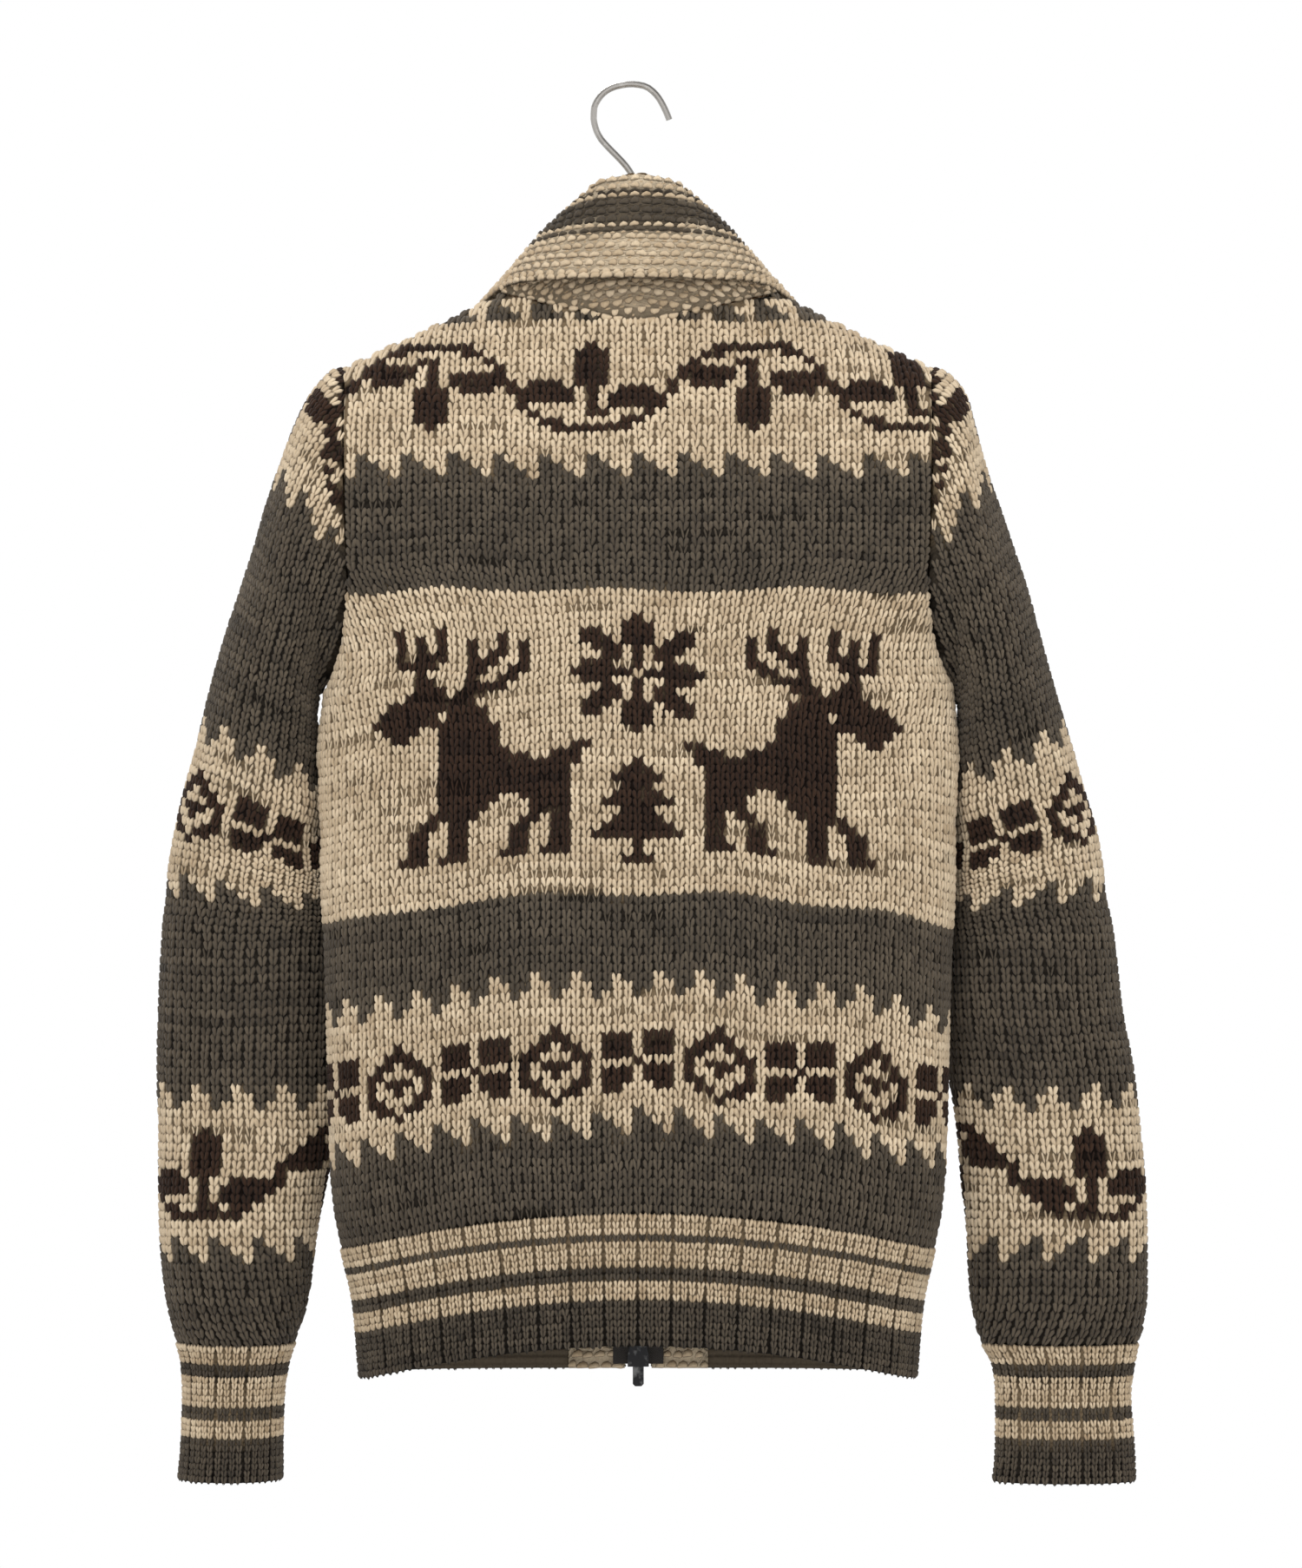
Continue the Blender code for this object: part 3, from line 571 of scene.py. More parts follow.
@dataclass(frozen=True)
class Ground:
    """The cloth behind the stitches, coloured as the yarn that runs there with painted shade where it shows between
    stitches, and purled on its inner side.
    """

    name: str

    def build(self) -> bpy.types.Material:
        """Build the material, which reads the shell's yarn colour with its painted shade, and the stitch grid of the
        shell.
        """
        made, tree, shader = new_material(self.name, {"Roughness": 0.95, "Specular IOR Level": 0.15})
        place = tree.add("ShaderNodeTexCoord").outputs["Object"]
        # The yarn's colour with the painted shade of the gaps between stitches, baked on the shell.
        dye = tree.add("ShaderNodeAttribute", attribute_name="dye").outputs["Color"]
        fleck = tree.noise(place, 700.0, 4.0, 0.65)
        lit = tree.math("ADD", 0.7, tree.math("MULTIPLY", fleck, 0.6))
        level = tree.add("ShaderNodeCombineColor", {0: lit, 1: lit, 2: lit}).outputs[0]
        tree.link(tree.mix(1.0, dye, level, "MULTIPLY"), shader, "Base Color")
        grid = tree.add("ShaderNodeUVMap", uv_map="Stitches").outputs[0]
        split = tree.add("ShaderNodeSeparateXYZ", {0: grid})
        rows = tree.math("SINE", tree.math("MULTIPLY", split.outputs[1], 2 * math.pi))
        cols = tree.math("SINE", tree.math("MULTIPLY", split.outputs[0], 2 * math.pi))
        height = tree.math("ADD", tree.math("MULTIPLY", rows, 0.5), tree.math("MULTIPLY", cols, 0.25))
        tree.bump(shader, 0.8, 0.0015, tree.math("ADD", height, tree.math("MULTIPLY", fleck, 0.5)))
        return made


@dataclass(frozen=True)
class StitchShape:
    """The form of one knitted loop: two plump legs that spread upwards, in shares of the stitch."""

    name: str
    rings: tuple[tuple[float, float, float, float], ...]  # along, aside, half-width, lift in mm
    foot: tuple[float, float, float]
    head: tuple[float, float, float]
    across: int = 4
    lying: bool = False

    def build(self, finish: bpy.types.Material) -> bpy.types.Object:
        """Build the shape that is planted for each stitch.

        Args:
            finish: A material for its faces.

        Returns:
            The object, which isn't in the scene.
        """
        points, faces, crest = [], [], []
        angles = np.radians(np.linspace(-82, 82, self.across))
        for side in (1.0, -1.0)[: 1 if self.lying else 2]:
            points.append((side * self.foot[1], self.foot[0], self.foot[2]))
            # The crest share, 1 on top of a leg and low at its sides and tips, steers the wool's painted shade.
            crest += [0.0, *(math.cos(angle) for _ in self.rings for angle in angles), 0.1]
            for up, aside, half, lift in self.rings:
                for angle in angles:
                    reach = half * math.sin(angle)
                    points.append((side * (aside + reach), up - 0.18 * reach, -0.95 + (lift + 0.95) * math.cos(angle)))
            points.append((side * self.head[1], self.head[0], self.head[2]))
        if self.lying:
            points = [(y, 0.5 - x, z) for x, y, z in points]
        for side in (1.0, -1.0)[: 1 if self.lying else 2]:
            base = 0 if side > 0 else len(points) // 2
            ring = [[base + 1 + r * self.across + k for k in range(self.across)] for r in range(len(self.rings))]
            tip = base + 1 + len(self.rings) * self.across
            shape = []
            for k in range(self.across - 1):
                shape.append((base, ring[0][k + 1], ring[0][k]))
                shape.append((ring[-1][k], ring[-1][k + 1], tip))
                for low, high in zip(ring[:-1], ring[1:]):
                    shape.append((low[k], low[k + 1], high[k + 1], high[k]))
            faces += [face[::-1] for face in shape] if side < 0 else shape
        mesh = bpy.data.meshes.new(self.name)
        mesh.from_pydata(points, [], faces)
        mesh.materials.append(finish)
        mesh.attributes.new("crest", "FLOAT", "POINT").data.foreach_set("value", crest)
        mesh.polygons.foreach_set("use_smooth", [True] * len(mesh.polygons))
        return bpy.data.objects.new(self.name, mesh)


FULL_STITCH = StitchShape(
    "full_stitch",
    ((0.1, 0.125, 0.15, 0.8), (0.52, 0.235, 0.235, 1.5), (0.98, 0.29, 0.215, 1.15)),
    (-0.3, 0.04, -0.6),
    (1.3, 0.27, -0.7),
)
LIGHT_STITCH = StitchShape(
    "light_stitch",
    ((0.24, 0.16, 0.2, 1.15), (0.86, 0.275, 0.235, 1.35)),
    (-0.3, 0.04, -0.6),
    (1.3, 0.27, -0.7),
)
THIN_STITCH = StitchShape(
    "thin_stitch",
    ((0.1, 0.13, 0.12, 0.7), (0.95, 0.31, 0.13, 0.85)),
    (-0.35, 0.06, -0.5),
    (1.3, 0.34, -0.5),
    across=3,
)
GARTER_BEAD = StitchShape(
    "garter_bead",
    ((-0.33, 0.05, 0.4, 1.1), (0.0, -0.08, 0.54, 2.2), (0.33, 0.05, 0.4, 1.1)),
    (-0.5, 0.25, -0.9),
    (0.5, 0.25, -0.9),
    lying=True,
)


class Planter:
    """Plants one shape on many points with a Geometry Nodes tree."""

    def __init__(self) -> None:
        """Build the tree with its named inputs."""
        group = bpy.data.node_groups.new("plant_stitches", "GeometryNodeTree")
        face = group.interface
        for name, kind in (
            ("Points", "Geometry"), ("Stitch", "Object"), ("Yarn", "Material"),
            ("Unevenness", "Float"), ("Lean", "Float"), ("Seed", "Int"),
        ):
            face.new_socket(name, in_out="INPUT", socket_type=f"NodeSocket{kind}")
        face.new_socket("Stitches", in_out="OUTPUT", socket_type="NodeSocketGeometry")
        tree = Tree(group)
        given = tree.add("NodeGroupInput")
        shape = tree.add("GeometryNodeObjectInfo", {"Object": given.outputs["Stitch"]})
        turn = tree.add("GeometryNodeInputNamedAttribute", {"Name": "turn"}, data_type="QUATERNION").outputs[0]
        size = tree.add("GeometryNodeInputNamedAttribute", {"Name": "size"}, data_type="FLOAT_VECTOR").outputs[0]
        low = tree.math("SUBTRACT", 1.0, given.outputs["Unevenness"])
        high = tree.math("ADD", 1.0, given.outputs["Unevenness"])
        seed = given.outputs["Seed"]
        swell = tree.add("FunctionNodeRandomValue", {"Min": low, "Max": high, "Seed": seed}, data_type="FLOAT_VECTOR")
        back = tree.math("MULTIPLY", given.outputs["Lean"], -1.0)
        tilt = tree.add(
            "FunctionNodeRandomValue", {"Seed": seed, 2: back, 3: given.outputs["Lean"]}, data_type="FLOAT"
        )
        angles = tree.add("ShaderNodeCombineXYZ", {2: tilt.outputs[1]})
        lean = tree.add("FunctionNodeEulerToRotation", {0: angles.outputs[0]})
        turned = tree.add("FunctionNodeRotateRotation", {0: turn, 1: lean.outputs[0]}, rotation_space="LOCAL")
        scale = tree.add("ShaderNodeVectorMath", {0: size, 1: swell.outputs[0]}, operation="MULTIPLY")
        planted = tree.add(
            "GeometryNodeInstanceOnPoints",
            {
                "Points": given.outputs["Points"],
                "Instance": shape.outputs["Geometry"],
                "Rotation": turned.outputs[0],
                "Scale": scale.outputs[0],
            },
        )
        real = tree.add("GeometryNodeRealizeInstances", {0: planted.outputs[0]})
        dressed = tree.add("GeometryNodeSetMaterial", {0: real.outputs[0], "Material": given.outputs["Yarn"]})
        tree.add("NodeGroupOutput", {0: dressed.outputs[0]})
        self.group = group
        self.sockets = {item.name: item.identifier for item in face.items_tree if item.in_out == "INPUT"}

    def plant(
        self, name: str, rows: StitchRows, shape: bpy.types.Object, yarn: bpy.types.Material,
        thick: Points, tone: Points, seed: int, unevenness: float = 0.07, lean: float = 0.06,
    ) -> bpy.types.Object:
        """Plant a shape on each stitch and make one plain mesh of them.

        Args:
            name: The new object's name.
            rows: The stitches, joined.
            shape: The shape of one stitch.
            yarn: The yarn's material.
            thick: How full the yarn is in each stitch.
            tone: How light it is, from 0 to 1.
            seed: The seed of the small differences between stitches.
            unevenness: How far the sizes differ.
            lean: How far the stitches lean, in radians.

        Returns:
            The object, in the scene.
        """
        place, across, up = rows.place[0], rows.across[0], rows.up[0]
        out = unit(np.cross(across, up))
        upward = unit(up)
        right = np.cross(upward, out)
        wide = np.abs(np.sum(across * right, axis=1)) * thick
        size = np.stack([wide, np.linalg.norm(up, axis=1), thick], axis=1) * MM
        origin = (place - 0.5 * up) * MM
        mesh = bpy.data.meshes.new(name)
        mesh.from_pydata(origin.tolist(), [], [])
        mesh.attributes.new("turn", "QUATERNION", "POINT").data.foreach_set("value", turns(right, upward, out).ravel())
        mesh.attributes.new("size", "FLOAT_VECTOR", "POINT").data.foreach_set("vector", size.ravel())
        mesh.attributes.new("tone", "FLOAT", "POINT").data.foreach_set("value", tone)
        obj = bpy.data.objects.new(name, mesh)
        bpy.context.scene.collection.objects.link(obj)
        modifier = obj.modifiers.new("plant", "NODES")
        modifier.node_group = self.group
        for key, value in {"Stitch": shape, "Yarn": yarn, "Unevenness": unevenness, "Lean": lean, "Seed": seed}.items():
            modifier[self.sockets[key]] = value
        graph = bpy.context.evaluated_depsgraph_get()
        made = bpy.data.meshes.new_from_object(obj.evaluated_get(graph))
        obj.modifiers.clear()
        obj.data = made
        bpy.data.meshes.remove(mesh)
        made.name = name
        LOG.info("%s: %d stitches, %d faces", name, len(place), len(made.polygons))
        return obj


def turns(right: Points, upward: Points, out: Points) -> Points:
    """Turn frames of three axes into quaternions.

    Args:
        right: Unit vectors along each stitch's width.
        upward: Unit vectors along its height.
        out: Unit vectors away from the cloth.

    Returns:
        One quaternion in each row, w first.
    """
    m = np.stack([right, upward, out], axis=2)
    w = np.sqrt(np.maximum(0, 1 + m[:, 0, 0] + m[:, 1, 1] + m[:, 2, 2])) / 2
    x = np.sqrt(np.maximum(0, 1 + m[:, 0, 0] - m[:, 1, 1] - m[:, 2, 2])) / 2
    y = np.sqrt(np.maximum(0, 1 - m[:, 0, 0] + m[:, 1, 1] - m[:, 2, 2])) / 2
    z = np.sqrt(np.maximum(0, 1 - m[:, 0, 0] - m[:, 1, 1] + m[:, 2, 2])) / 2
    x = np.copysign(x, m[:, 2, 1] - m[:, 1, 2])
    y = np.copysign(y, m[:, 0, 2] - m[:, 2, 0])
    z = np.copysign(z, m[:, 1, 0] - m[:, 0, 1])
    return unit(np.stack([w, x, y, z], axis=1))


# Rings of each sleeve: its outer and inner point in the plane of the arms, its half-depth and middle in y,
# and how far the ring is an ellipse (1) and not yet the armhole's shape (0).
SLEEVE_NAMES = "outer_x outer_z inner_x inner_z depth y ellipse"
LEFT_SLEEVE = columns(
    SLEEVE_NAMES,
    [
        (189, -176, 198, -379, 46, 0, 0.0), (202, -189, 199, -381, 47, 0, 0.1),
        (213, -210, 200, -384, 48, -1, 0.2), (225, -243, 201, -388, 48, -3, 0.35),
        (235, -275, 202, -393, 48, -5, 0.5), (246, -308, 202, -401, 48, -8, 0.7),
        (258, -343, 202, -410, 47, -12, 0.85), (268, -378, 201, -424, 46, -16, 1),
        (276, -410, 199, -440, 45, -21, 1), (284, -437, 197, -459, 44, -26, 1),
        (291, -467, 194, -481, 42, -30, 1), (296, -497, 192, -505, 41, -33, 1),
        (299, -535, 190, -537, 40, -35, 1), (301, -572, 190, -572, 39, -36, 1),
        (302, -616, 190, -616, 39, -36, 1), (301, -653, 191, -653, 39, -36, 1),
        (301, -686, 197, -686, 40, -36, 1), (300, -718, 203, -718, 40, -36, 1),
        (297, -751, 207, -751, 38, -36, 1), (292, -775, 213, -775, 34, -36, 1),
        (289, -784, 217, -784, 31, -36, 1),
    ],
)
RIGHT_SLEEVE = columns(
    SLEEVE_NAMES,
    [
        (189, -176, 197, -379, 46, 0, 0.0), (203, -190, 198, -381, 47, 0, 0.1),
        (209, -210, 199, -384, 48, -1, 0.2), (218, -243, 201, -388, 48, -3, 0.35),
        (228, -274, 201, -393, 48, -5, 0.5), (241, -308, 202, -401, 48, -8, 0.7),
        (251, -343, 201, -410, 47, -12, 0.85), (261, -378, 200, -424, 46, -16, 1),
        (271, -410, 198, -440, 45, -21, 1), (279, -437, 197, -459, 44, -25, 1),
        (288, -467, 196, -481, 42, -28, 1), (293, -497, 195, -505, 41, -30, 1),
        (299, -535, 194, -537, 40, -31, 1), (303, -572, 194, -572, 39, -31, 1),
        (311, -616, 196, -616, 37, -31, 1), (315, -653, 201, -653, 35, -31, 1),
        (318, -686, 204, -686, 33, -31, 1), (319, -718, 207, -718, 32, -31, 1),
        (319, -751, 209, -751, 31, -31, 1), (316, -775, 213, -775, 27, -31, 1),
        (313, -784, 217, -784, 24, -31, 1),
    ],
)
CUFF_NAMES = "outer_x inner_x z depth y"
LEFT_CUFF = columns(
    CUFF_NAMES,
    [
        (289, 217, -784.4, 31, -36), (286, 221, -797, 28, -36), (285, 224, -816, 27, -36),
        (286, 225, -848, 26.5, -36), (288, 225, -870, 27, -36),
    ],
)
RIGHT_CUFF = columns(
    CUFF_NAMES,
    [
        (313, 217, -784.4, 24, -31), (310, 224, -799, 20, -31), (308, 226, -816, 18, -31),
        (310, 226, -848, 18, -31), (311, 224, -871, 19, -31),
    ],
)
# How steeply a sleeve's rows fall towards the body, by their level at the outer line.
SLANT = columns(
    "z slope",
    [(-790, 0), (-540, 0), (-494, 0.13), (-440, 0.4), (-399, 0.45), (-330, 0.8), (-264, 1.1), (-176, 1.3), (-120, 1.3)],
)
# The collar's stations from the centre of the back to the zip: where its base leaves the neck seam, the
# top of its fold with the way that it rolls (0 to the back, 90 to the side), and its free edge.
COLLAR = columns(
    "base_x front fold_x fold_y fold_z turn roll edge_x edge_y edge_z",
    [
        (0, 0, 0, 20, -57, 0, 10, 0, 50, -121),
        (30, 0, 20, 18, -61, 15, 10, 36, 47, -121.5),
        (58, 0, 35, 11, -73, 42, 10, 63, 35, -122),
        (77, 0, 47, 1, -86, 68, 9.5, 78, 18, -123),
        (84, 0, 54, -11, -98, 92, 9, 88, -2, -127),
        (81, 1, 60, -30, -113, 108, 9, 101, -25, -139),
        (73, 1, 59, -56, -136, 124, 9, 110, -45, -169),
        (65, 1, 50, -71, -168, 135, 8, 102, -64, -206),
        (53, 1, 40, -78, -205, 145, 7, 82, -75, -238),
        (35, 1, 25, -80, -236, 158, 6, 49, -78, -262),
        (13, 1, 10, -80.5, -241, 172, 5, 14, -77.5, -268),
    ],
)


@dataclass(frozen=True)
class SleeveForm:
    """The outer form of one sleeve, worked out on the +X side."""

    table: dict[str, Points]
    body: BodyForm

    def armhole_shape(self, q: Points) -> Points:
        """Half-depth of the armhole from its top (q = 1) to the underarm (q = -1), as a share."""
        body = self.body
        level = (body.shoulder_z + body.underarm_z) / 2 + (body.shoulder_z - body.underarm_z) / 2 * q
        return body.edge_depth(level) * arch((body.shoulder_z - level) / body.shoulder_roll) / body.armhole_depth

    def grid(self, angles: Points, count: int) -> Points:
        """Lay out the sleeve's points.

        Args:
            angles: Angles round the sleeve, 0 at its outer line and rising towards the back.
            count: How many rings to make.

        Returns:
            Points with the cuff's ring first, at even steps from ring to ring.
        """
        q, body, table = np.cos(angles), self.body, self.table
        way = np.sign(np.sin(angles)) * (np.abs(np.sin(angles)) > 1e-6)
        level = (body.shoulder_z + body.underarm_z) / 2 + (body.shoulder_z - body.underarm_z) / 2 * q
        armhole = way * body.armhole_depth * self.armhole_shape(q)
        rings = [np.stack([body.half(level) + body.seam, armhole, level], axis=-1)]
        for k in range(len(table["y"])):
            outer = np.array([table["outer_x"][k], table["outer_z"][k]])
            inner = np.array([table["inner_x"][k], table["inner_z"][k]])
            x, z = (outer + inner)[:, None] / 2 + (outer - inner)[:, None] / 2 * q
            share = table["ellipse"][k]
            shape = (1 - share) * self.armhole_shape(q) + share * np.sqrt(np.clip(1 - q**2, 0, 1))
            rings.append(np.stack([x, table["y"][k] + way * table["depth"][k] * shape, z], axis=-1))
        rings = np.array(rings[::-1])
        at = np.append(0, np.cumsum(np.linalg.norm(np.diff(rings[:, 0], axis=0), axis=1) + 1.5))
        steps = np.linspace(0, at[-1], count)
        flat = rings.reshape(len(rings), -1)
        return np.stack([smooth(steps, at, flat[:, k]) for k in range(flat.shape[1])], axis=-1).reshape(count, -1, 3)

    def rows(self, pitch: float, count: int) -> list[Points]:
        """Find the knit rows, which tilt on the sleeve's cap and end at the armhole.

        Args:
            pitch: The height of a row at the sleeve's outer line.
            count: The most rows to find.

        Returns:
            One line of points for each row, lowest first.
        """
        angles = np.linspace(-math.pi, math.pi, 121)
        grid = self.grid(angles, 320)
        outer_z = np.arange(-784, -100, 2.0)
        outer_x = smooth(outer_z, self.table["outer_z"][::-1], self.table["outer_x"][::-1])
        slope = smooth(outer_z, SLANT["z"], SLANT["slope"])
        number = np.append(0, np.cumsum(np.hypot(np.diff(outer_x), np.diff(outer_z)))) / pitch
        x, z = grid[..., 0].ravel(), grid[..., 2].ravel()
        above = z[:, None] - outer_z + slope * (outer_x - x[:, None])
        low = np.clip((above > 0).sum(axis=1) - 1, 0, len(outer_z) - 2)
        pick = np.arange(len(z))
        part = above[pick, low] / np.maximum(above[pick, low] - above[pick, low + 1], 1e-6)
        row = (number[low] + part * (number[low + 1] - number[low])).reshape(grid.shape[:2])
        row = np.maximum.accumulate(row + np.arange(len(row))[:, None] * 1e-6, axis=0)
        lines = []
        for j in range(count):
            level = j + 0.5
            inside = np.nonzero((row[0] <= level + 0.5) & (row[-1] >= level - 0.35))[0]
            if len(inside) < 4:
                break
            lines.append(np.array([[np.interp(level, row[:, a], grid[:, a, k]) for k in range(3)] for a in inside]))
        return lines


@dataclass(frozen=True)
class CuffForm:
    """The plain form under one cuff's ribs, worked out on the +X side."""

    table: dict[str, Points]

    def ring(self, angles: Points, z: float) -> Points:
        """Points of the cuff at a level, by angle from the outer line."""
        levels = self.table["z"][::-1]
        outer, inner, depth, y = (
            smooth(np.array(z), levels, self.table[key][::-1]) for key in ("outer_x", "inner_x", "depth", "y")
        )
        x = (outer + inner) / 2 + (outer - inner) / 2 * np.cos(angles)
        return np.stack([x, y + depth * np.sin(angles), np.full(len(x), z)], axis=-1)


@dataclass(frozen=True)
class CollarForm:
    """The collar's middle surface, from its base over the fold to its free edge."""

    body: BodyForm
    inset: float = 3.7
    lift: float = 1.1
    knit_wall: float = 4.0

    def half_grid(self, stations: int, across: int) -> Points:
        """Lay out the +X half of the collar.

        Args:
            stations: Steps from the centre of the back to the zip.
            across: Steps from the base to the fold, and again from the fold to the edge.

        Returns:
            Points with a row for each step across and a column for each station.
        """
        x = COLLAR["base_x"]
        back_z, back_y = self.body.top(x, False)
        front_z, front_y = self.body.top(x, True)
        at_front = COLLAR["front"] > 0
        y = np.where(at_front, -(front_y - self.knit_wall / 2), back_y - self.knit_wall / 2)
        z = np.where(at_front, front_z, back_z) + self.lift
        turn = np.radians(COLLAR["turn"])
        lines = [
            np.stack([x - self.inset * at_front, y, z], axis=-1),
            np.stack([COLLAR["fold_x"], COLLAR["fold_y"], COLLAR["fold_z"]], axis=-1),
            np.stack([COLLAR["edge_x"], COLLAR["edge_y"], COLLAR["edge_z"]], axis=-1),
            np.stack([np.sin(turn), np.cos(turn), 0 * turn], axis=-1) * COLLAR["roll"][:, None],
        ]
        known = np.arange(len(x), dtype=float)
        steps = np.linspace(0, known[-1], stations + 1)
        base, fold, edge, roll = (
            np.stack([smooth(steps, known, line[:, k]) for k in range(3)], axis=-1) for line in lines
        )
        rise = base + np.array([0, 0, 0.4]) * np.linalg.norm(fold - base, axis=1, keepdims=True)
        fall = np.linalg.norm(edge - fold, axis=1, keepdims=True)
        hang = edge + unit(fold + 1.5 * roll - edge) * 0.4 * fall
        t = np.linspace(0, 1, across + 1)[:, None, None]

        def bend(a: Points, b: Points, c: Points, d: Points) -> Points:
            """A curve from a to d that leaves along b and comes in along c."""
            return (1 - t) ** 3 * a + 3 * t * (1 - t) ** 2 * b + 3 * t**2 * (1 - t) * c + t**3 * d

        return np.concatenate([bend(base, rise, fold - roll, fold), bend(fold, fold + roll, hang, edge)[1:]])

    def grid(self, stations: int, across: int) -> Points:
        """Both halves of the collar, to the right seen from the back."""
        half = self.half_grid(stations, across)
        return np.concatenate([half[:, ::-1], (half * MIRROR)[:, 1:]], axis=1)

    def rows(self, levels: Points) -> list[Points]:
        """Find the garter ridges, which run along the free edge.

        Args:
            levels: How far each ridge lies from the free edge.

        Returns:
            One line of points for each ridge, to the right seen from the back.
        """
        grid = self.grid(150, 30)[::-1]
        steps = np.linalg.norm(np.diff(grid, axis=0), axis=2)
        far = np.concatenate([np.zeros((1, grid.shape[1])), np.cumsum(steps, axis=0)])
        lines = []
        for level in levels:
            inside = np.nonzero(far[-1] > level + 1.5)[0]
            if len(inside) < 6:
                break
            lines.append(np.array([[np.interp(level, far[:, a], grid[:, a, k]) for k in range(3)] for a in inside]))
        return [*lines, grid[-1, 3:-3] - np.array([0, 0, 1.2])]


TEETH_DOWN = (0, 1, 2, 3)
TEETH_UP = (0, 1, 3, 2)
FLOWER = (
    "###.###",
    "###.###",
    "###.###",
    "...#...",
    "###.###",
    "###.###",
    "##...##",
)
DIAMOND = (
    "...#...",
    "..###..",
    ".##.##.",
    "##...##",
    "#.###.#",
    "#..#..#",
    "##...##",
    ".##.##.",
    "...#...",
)
LEAF = (
    "......#......",
    ".....###.....",
    ".....###.....",
    ".....###.....",
    ".....###.....",
    ".###.###.....",
    "#####.#..###.",
    ".####.#.#####",
    "......#.####.",
    "......##.....",
)


def marked(chart: tuple[str, ...], column: Points, row: Points) -> Points:
    """Read a small chart.

    Args:
        chart: Its lines, the top one first.
        column: Columns counted from the chart's middle.
        row: Rows counted from its lowest line.

    Returns:
        True where the chart has a mark.
    """
    marks = np.array([[mark == "#" for mark in line] for line in chart[::-1]])
    tall, wide = marks.shape
    c, r = column + wide // 2, row
    inside = (c >= 0) & (c < wide) & (r >= 0) & (r < tall)
    return inside & marks[np.clip(r, 0, tall - 1), np.clip(c, 0, wide - 1)]


@dataclass(frozen=True)
class Band:
    """One band of the pattern, from its lowest row up."""

    kind: str
    rows: int
    shift: int = 0


class Pattern:
    """Which yarn each stitch is knitted in, read band by band."""

    def __init__(self, bands: tuple[Band, ...]) -> None:
        """Number the bands' first rows, from the lowest band up."""
        self.bands = bands
        self.starts = np.append(0, np.cumsum([band.rows for band in bands]))

    def read(self, column: Points, row: Points) -> Points:
        """Find the yarn of each stitch.

        Args:
            column: The stitches' columns.
            row: Their rows, counted from the lowest.

        Returns:
            The values of Yarn.
        """
        yarn = np.full(len(column), Yarn.CREAM.value)
        for band, start in zip(self.bands, self.starts):
            here = (row >= start) & (row < start + band.rows)
            yarn[here] = getattr(self, band.kind)(column[here] + band.shift, row[here] - start, band.rows)
        return yarn

    @staticmethod
    def grey(column: Points, row: Points, rows: int) -> Points:
        """Plain grey."""
        return np.full(len(column), Yarn.GREY.value)

    @staticmethod
    def cream(column: Points, row: Points, rows: int) -> Points:
        """Plain cream."""
        return np.full(len(column), Yarn.CREAM.value)

    @staticmethod
    def teeth_down(column: Points, row: Points, rows: int) -> Points:
        """Cream steps that hang into grey, each column of four one row longer."""
        length = np.array(TEETH_DOWN)[column % 4]
        return np.where(rows - row <= length, Yarn.CREAM.value, Yarn.GREY.value)

    @staticmethod
    def teeth_up(column: Points, row: Points, rows: int) -> Points:
        """Cream points that rise into grey, four columns apart."""
        length = np.array(TEETH_UP)[column % 4]
        return np.where(row < length, Yarn.CREAM.value, Yarn.GREY.value)

    @staticmethod
    def flowers(column: Points, row: Points, rows: int) -> Points:
        """Crossed flowers and diamonds in turn, eight columns apart."""
        low = (rows - 9) // 2
        flower = marked(FLOWER, (column + 8) % 16 - 8, row - low - 1)
        diamond = marked(DIAMOND, column % 16 - 8, row - low)
        return np.where(flower | diamond, Yarn.BROWN.value, Yarn.CREAM.value)

    @staticmethod
    def scroll(column: Points, row: Points, rows: int) -> Points:
        """A waving vine with leaves that stand above and below it in turn."""
        middle = (rows - 1) / 2
        low, wave, high = (
            middle + 1.1 * (middle - 0.2) * np.tanh(1.6 * np.cos(2 * math.pi * (column + step) / 28))
            for step in (-0.5, 0, 0.5)
        )
        vine = np.abs(row - wave) <= 0.42 + 0.36 * np.abs(high - low)
        up = marked(LEAF, (column % 28) - 14, row - (rows - 10))
        down = marked(LEAF, 14 - (column + 14) % 28, 9 - row)
        return np.where(up | down | vine, Yarn.BROWN.value, Yarn.CREAM.value)

    @staticmethod
    def stags(column: Points, row: Points, rows: int) -> Points:
        """Two stags that look outwards, with a star over a fir tree between them."""
        side = np.abs(column)
        drawn = marked(STAG, side - 17, row - 5) | marked(STAR, side, row - 20) | marked(FIR, side, row - 4)
        return np.where(drawn, Yarn.BROWN.value, Yarn.CREAM.value)

    @staticmethod
    def firs(column: Points, row: Points, rows: int) -> Points:
        """Fir trees with a star over each gap between them."""
        fir = marked(FIR, (column + 10) % 20 - 10, row - 8) | marked(FIR, (column + 10) % 20 - 10, row - 1)
        star = marked(STAR, column % 20 - 10, row - 17)
        return np.where(fir | star, Yarn.BROWN.value, Yarn.CREAM.value)


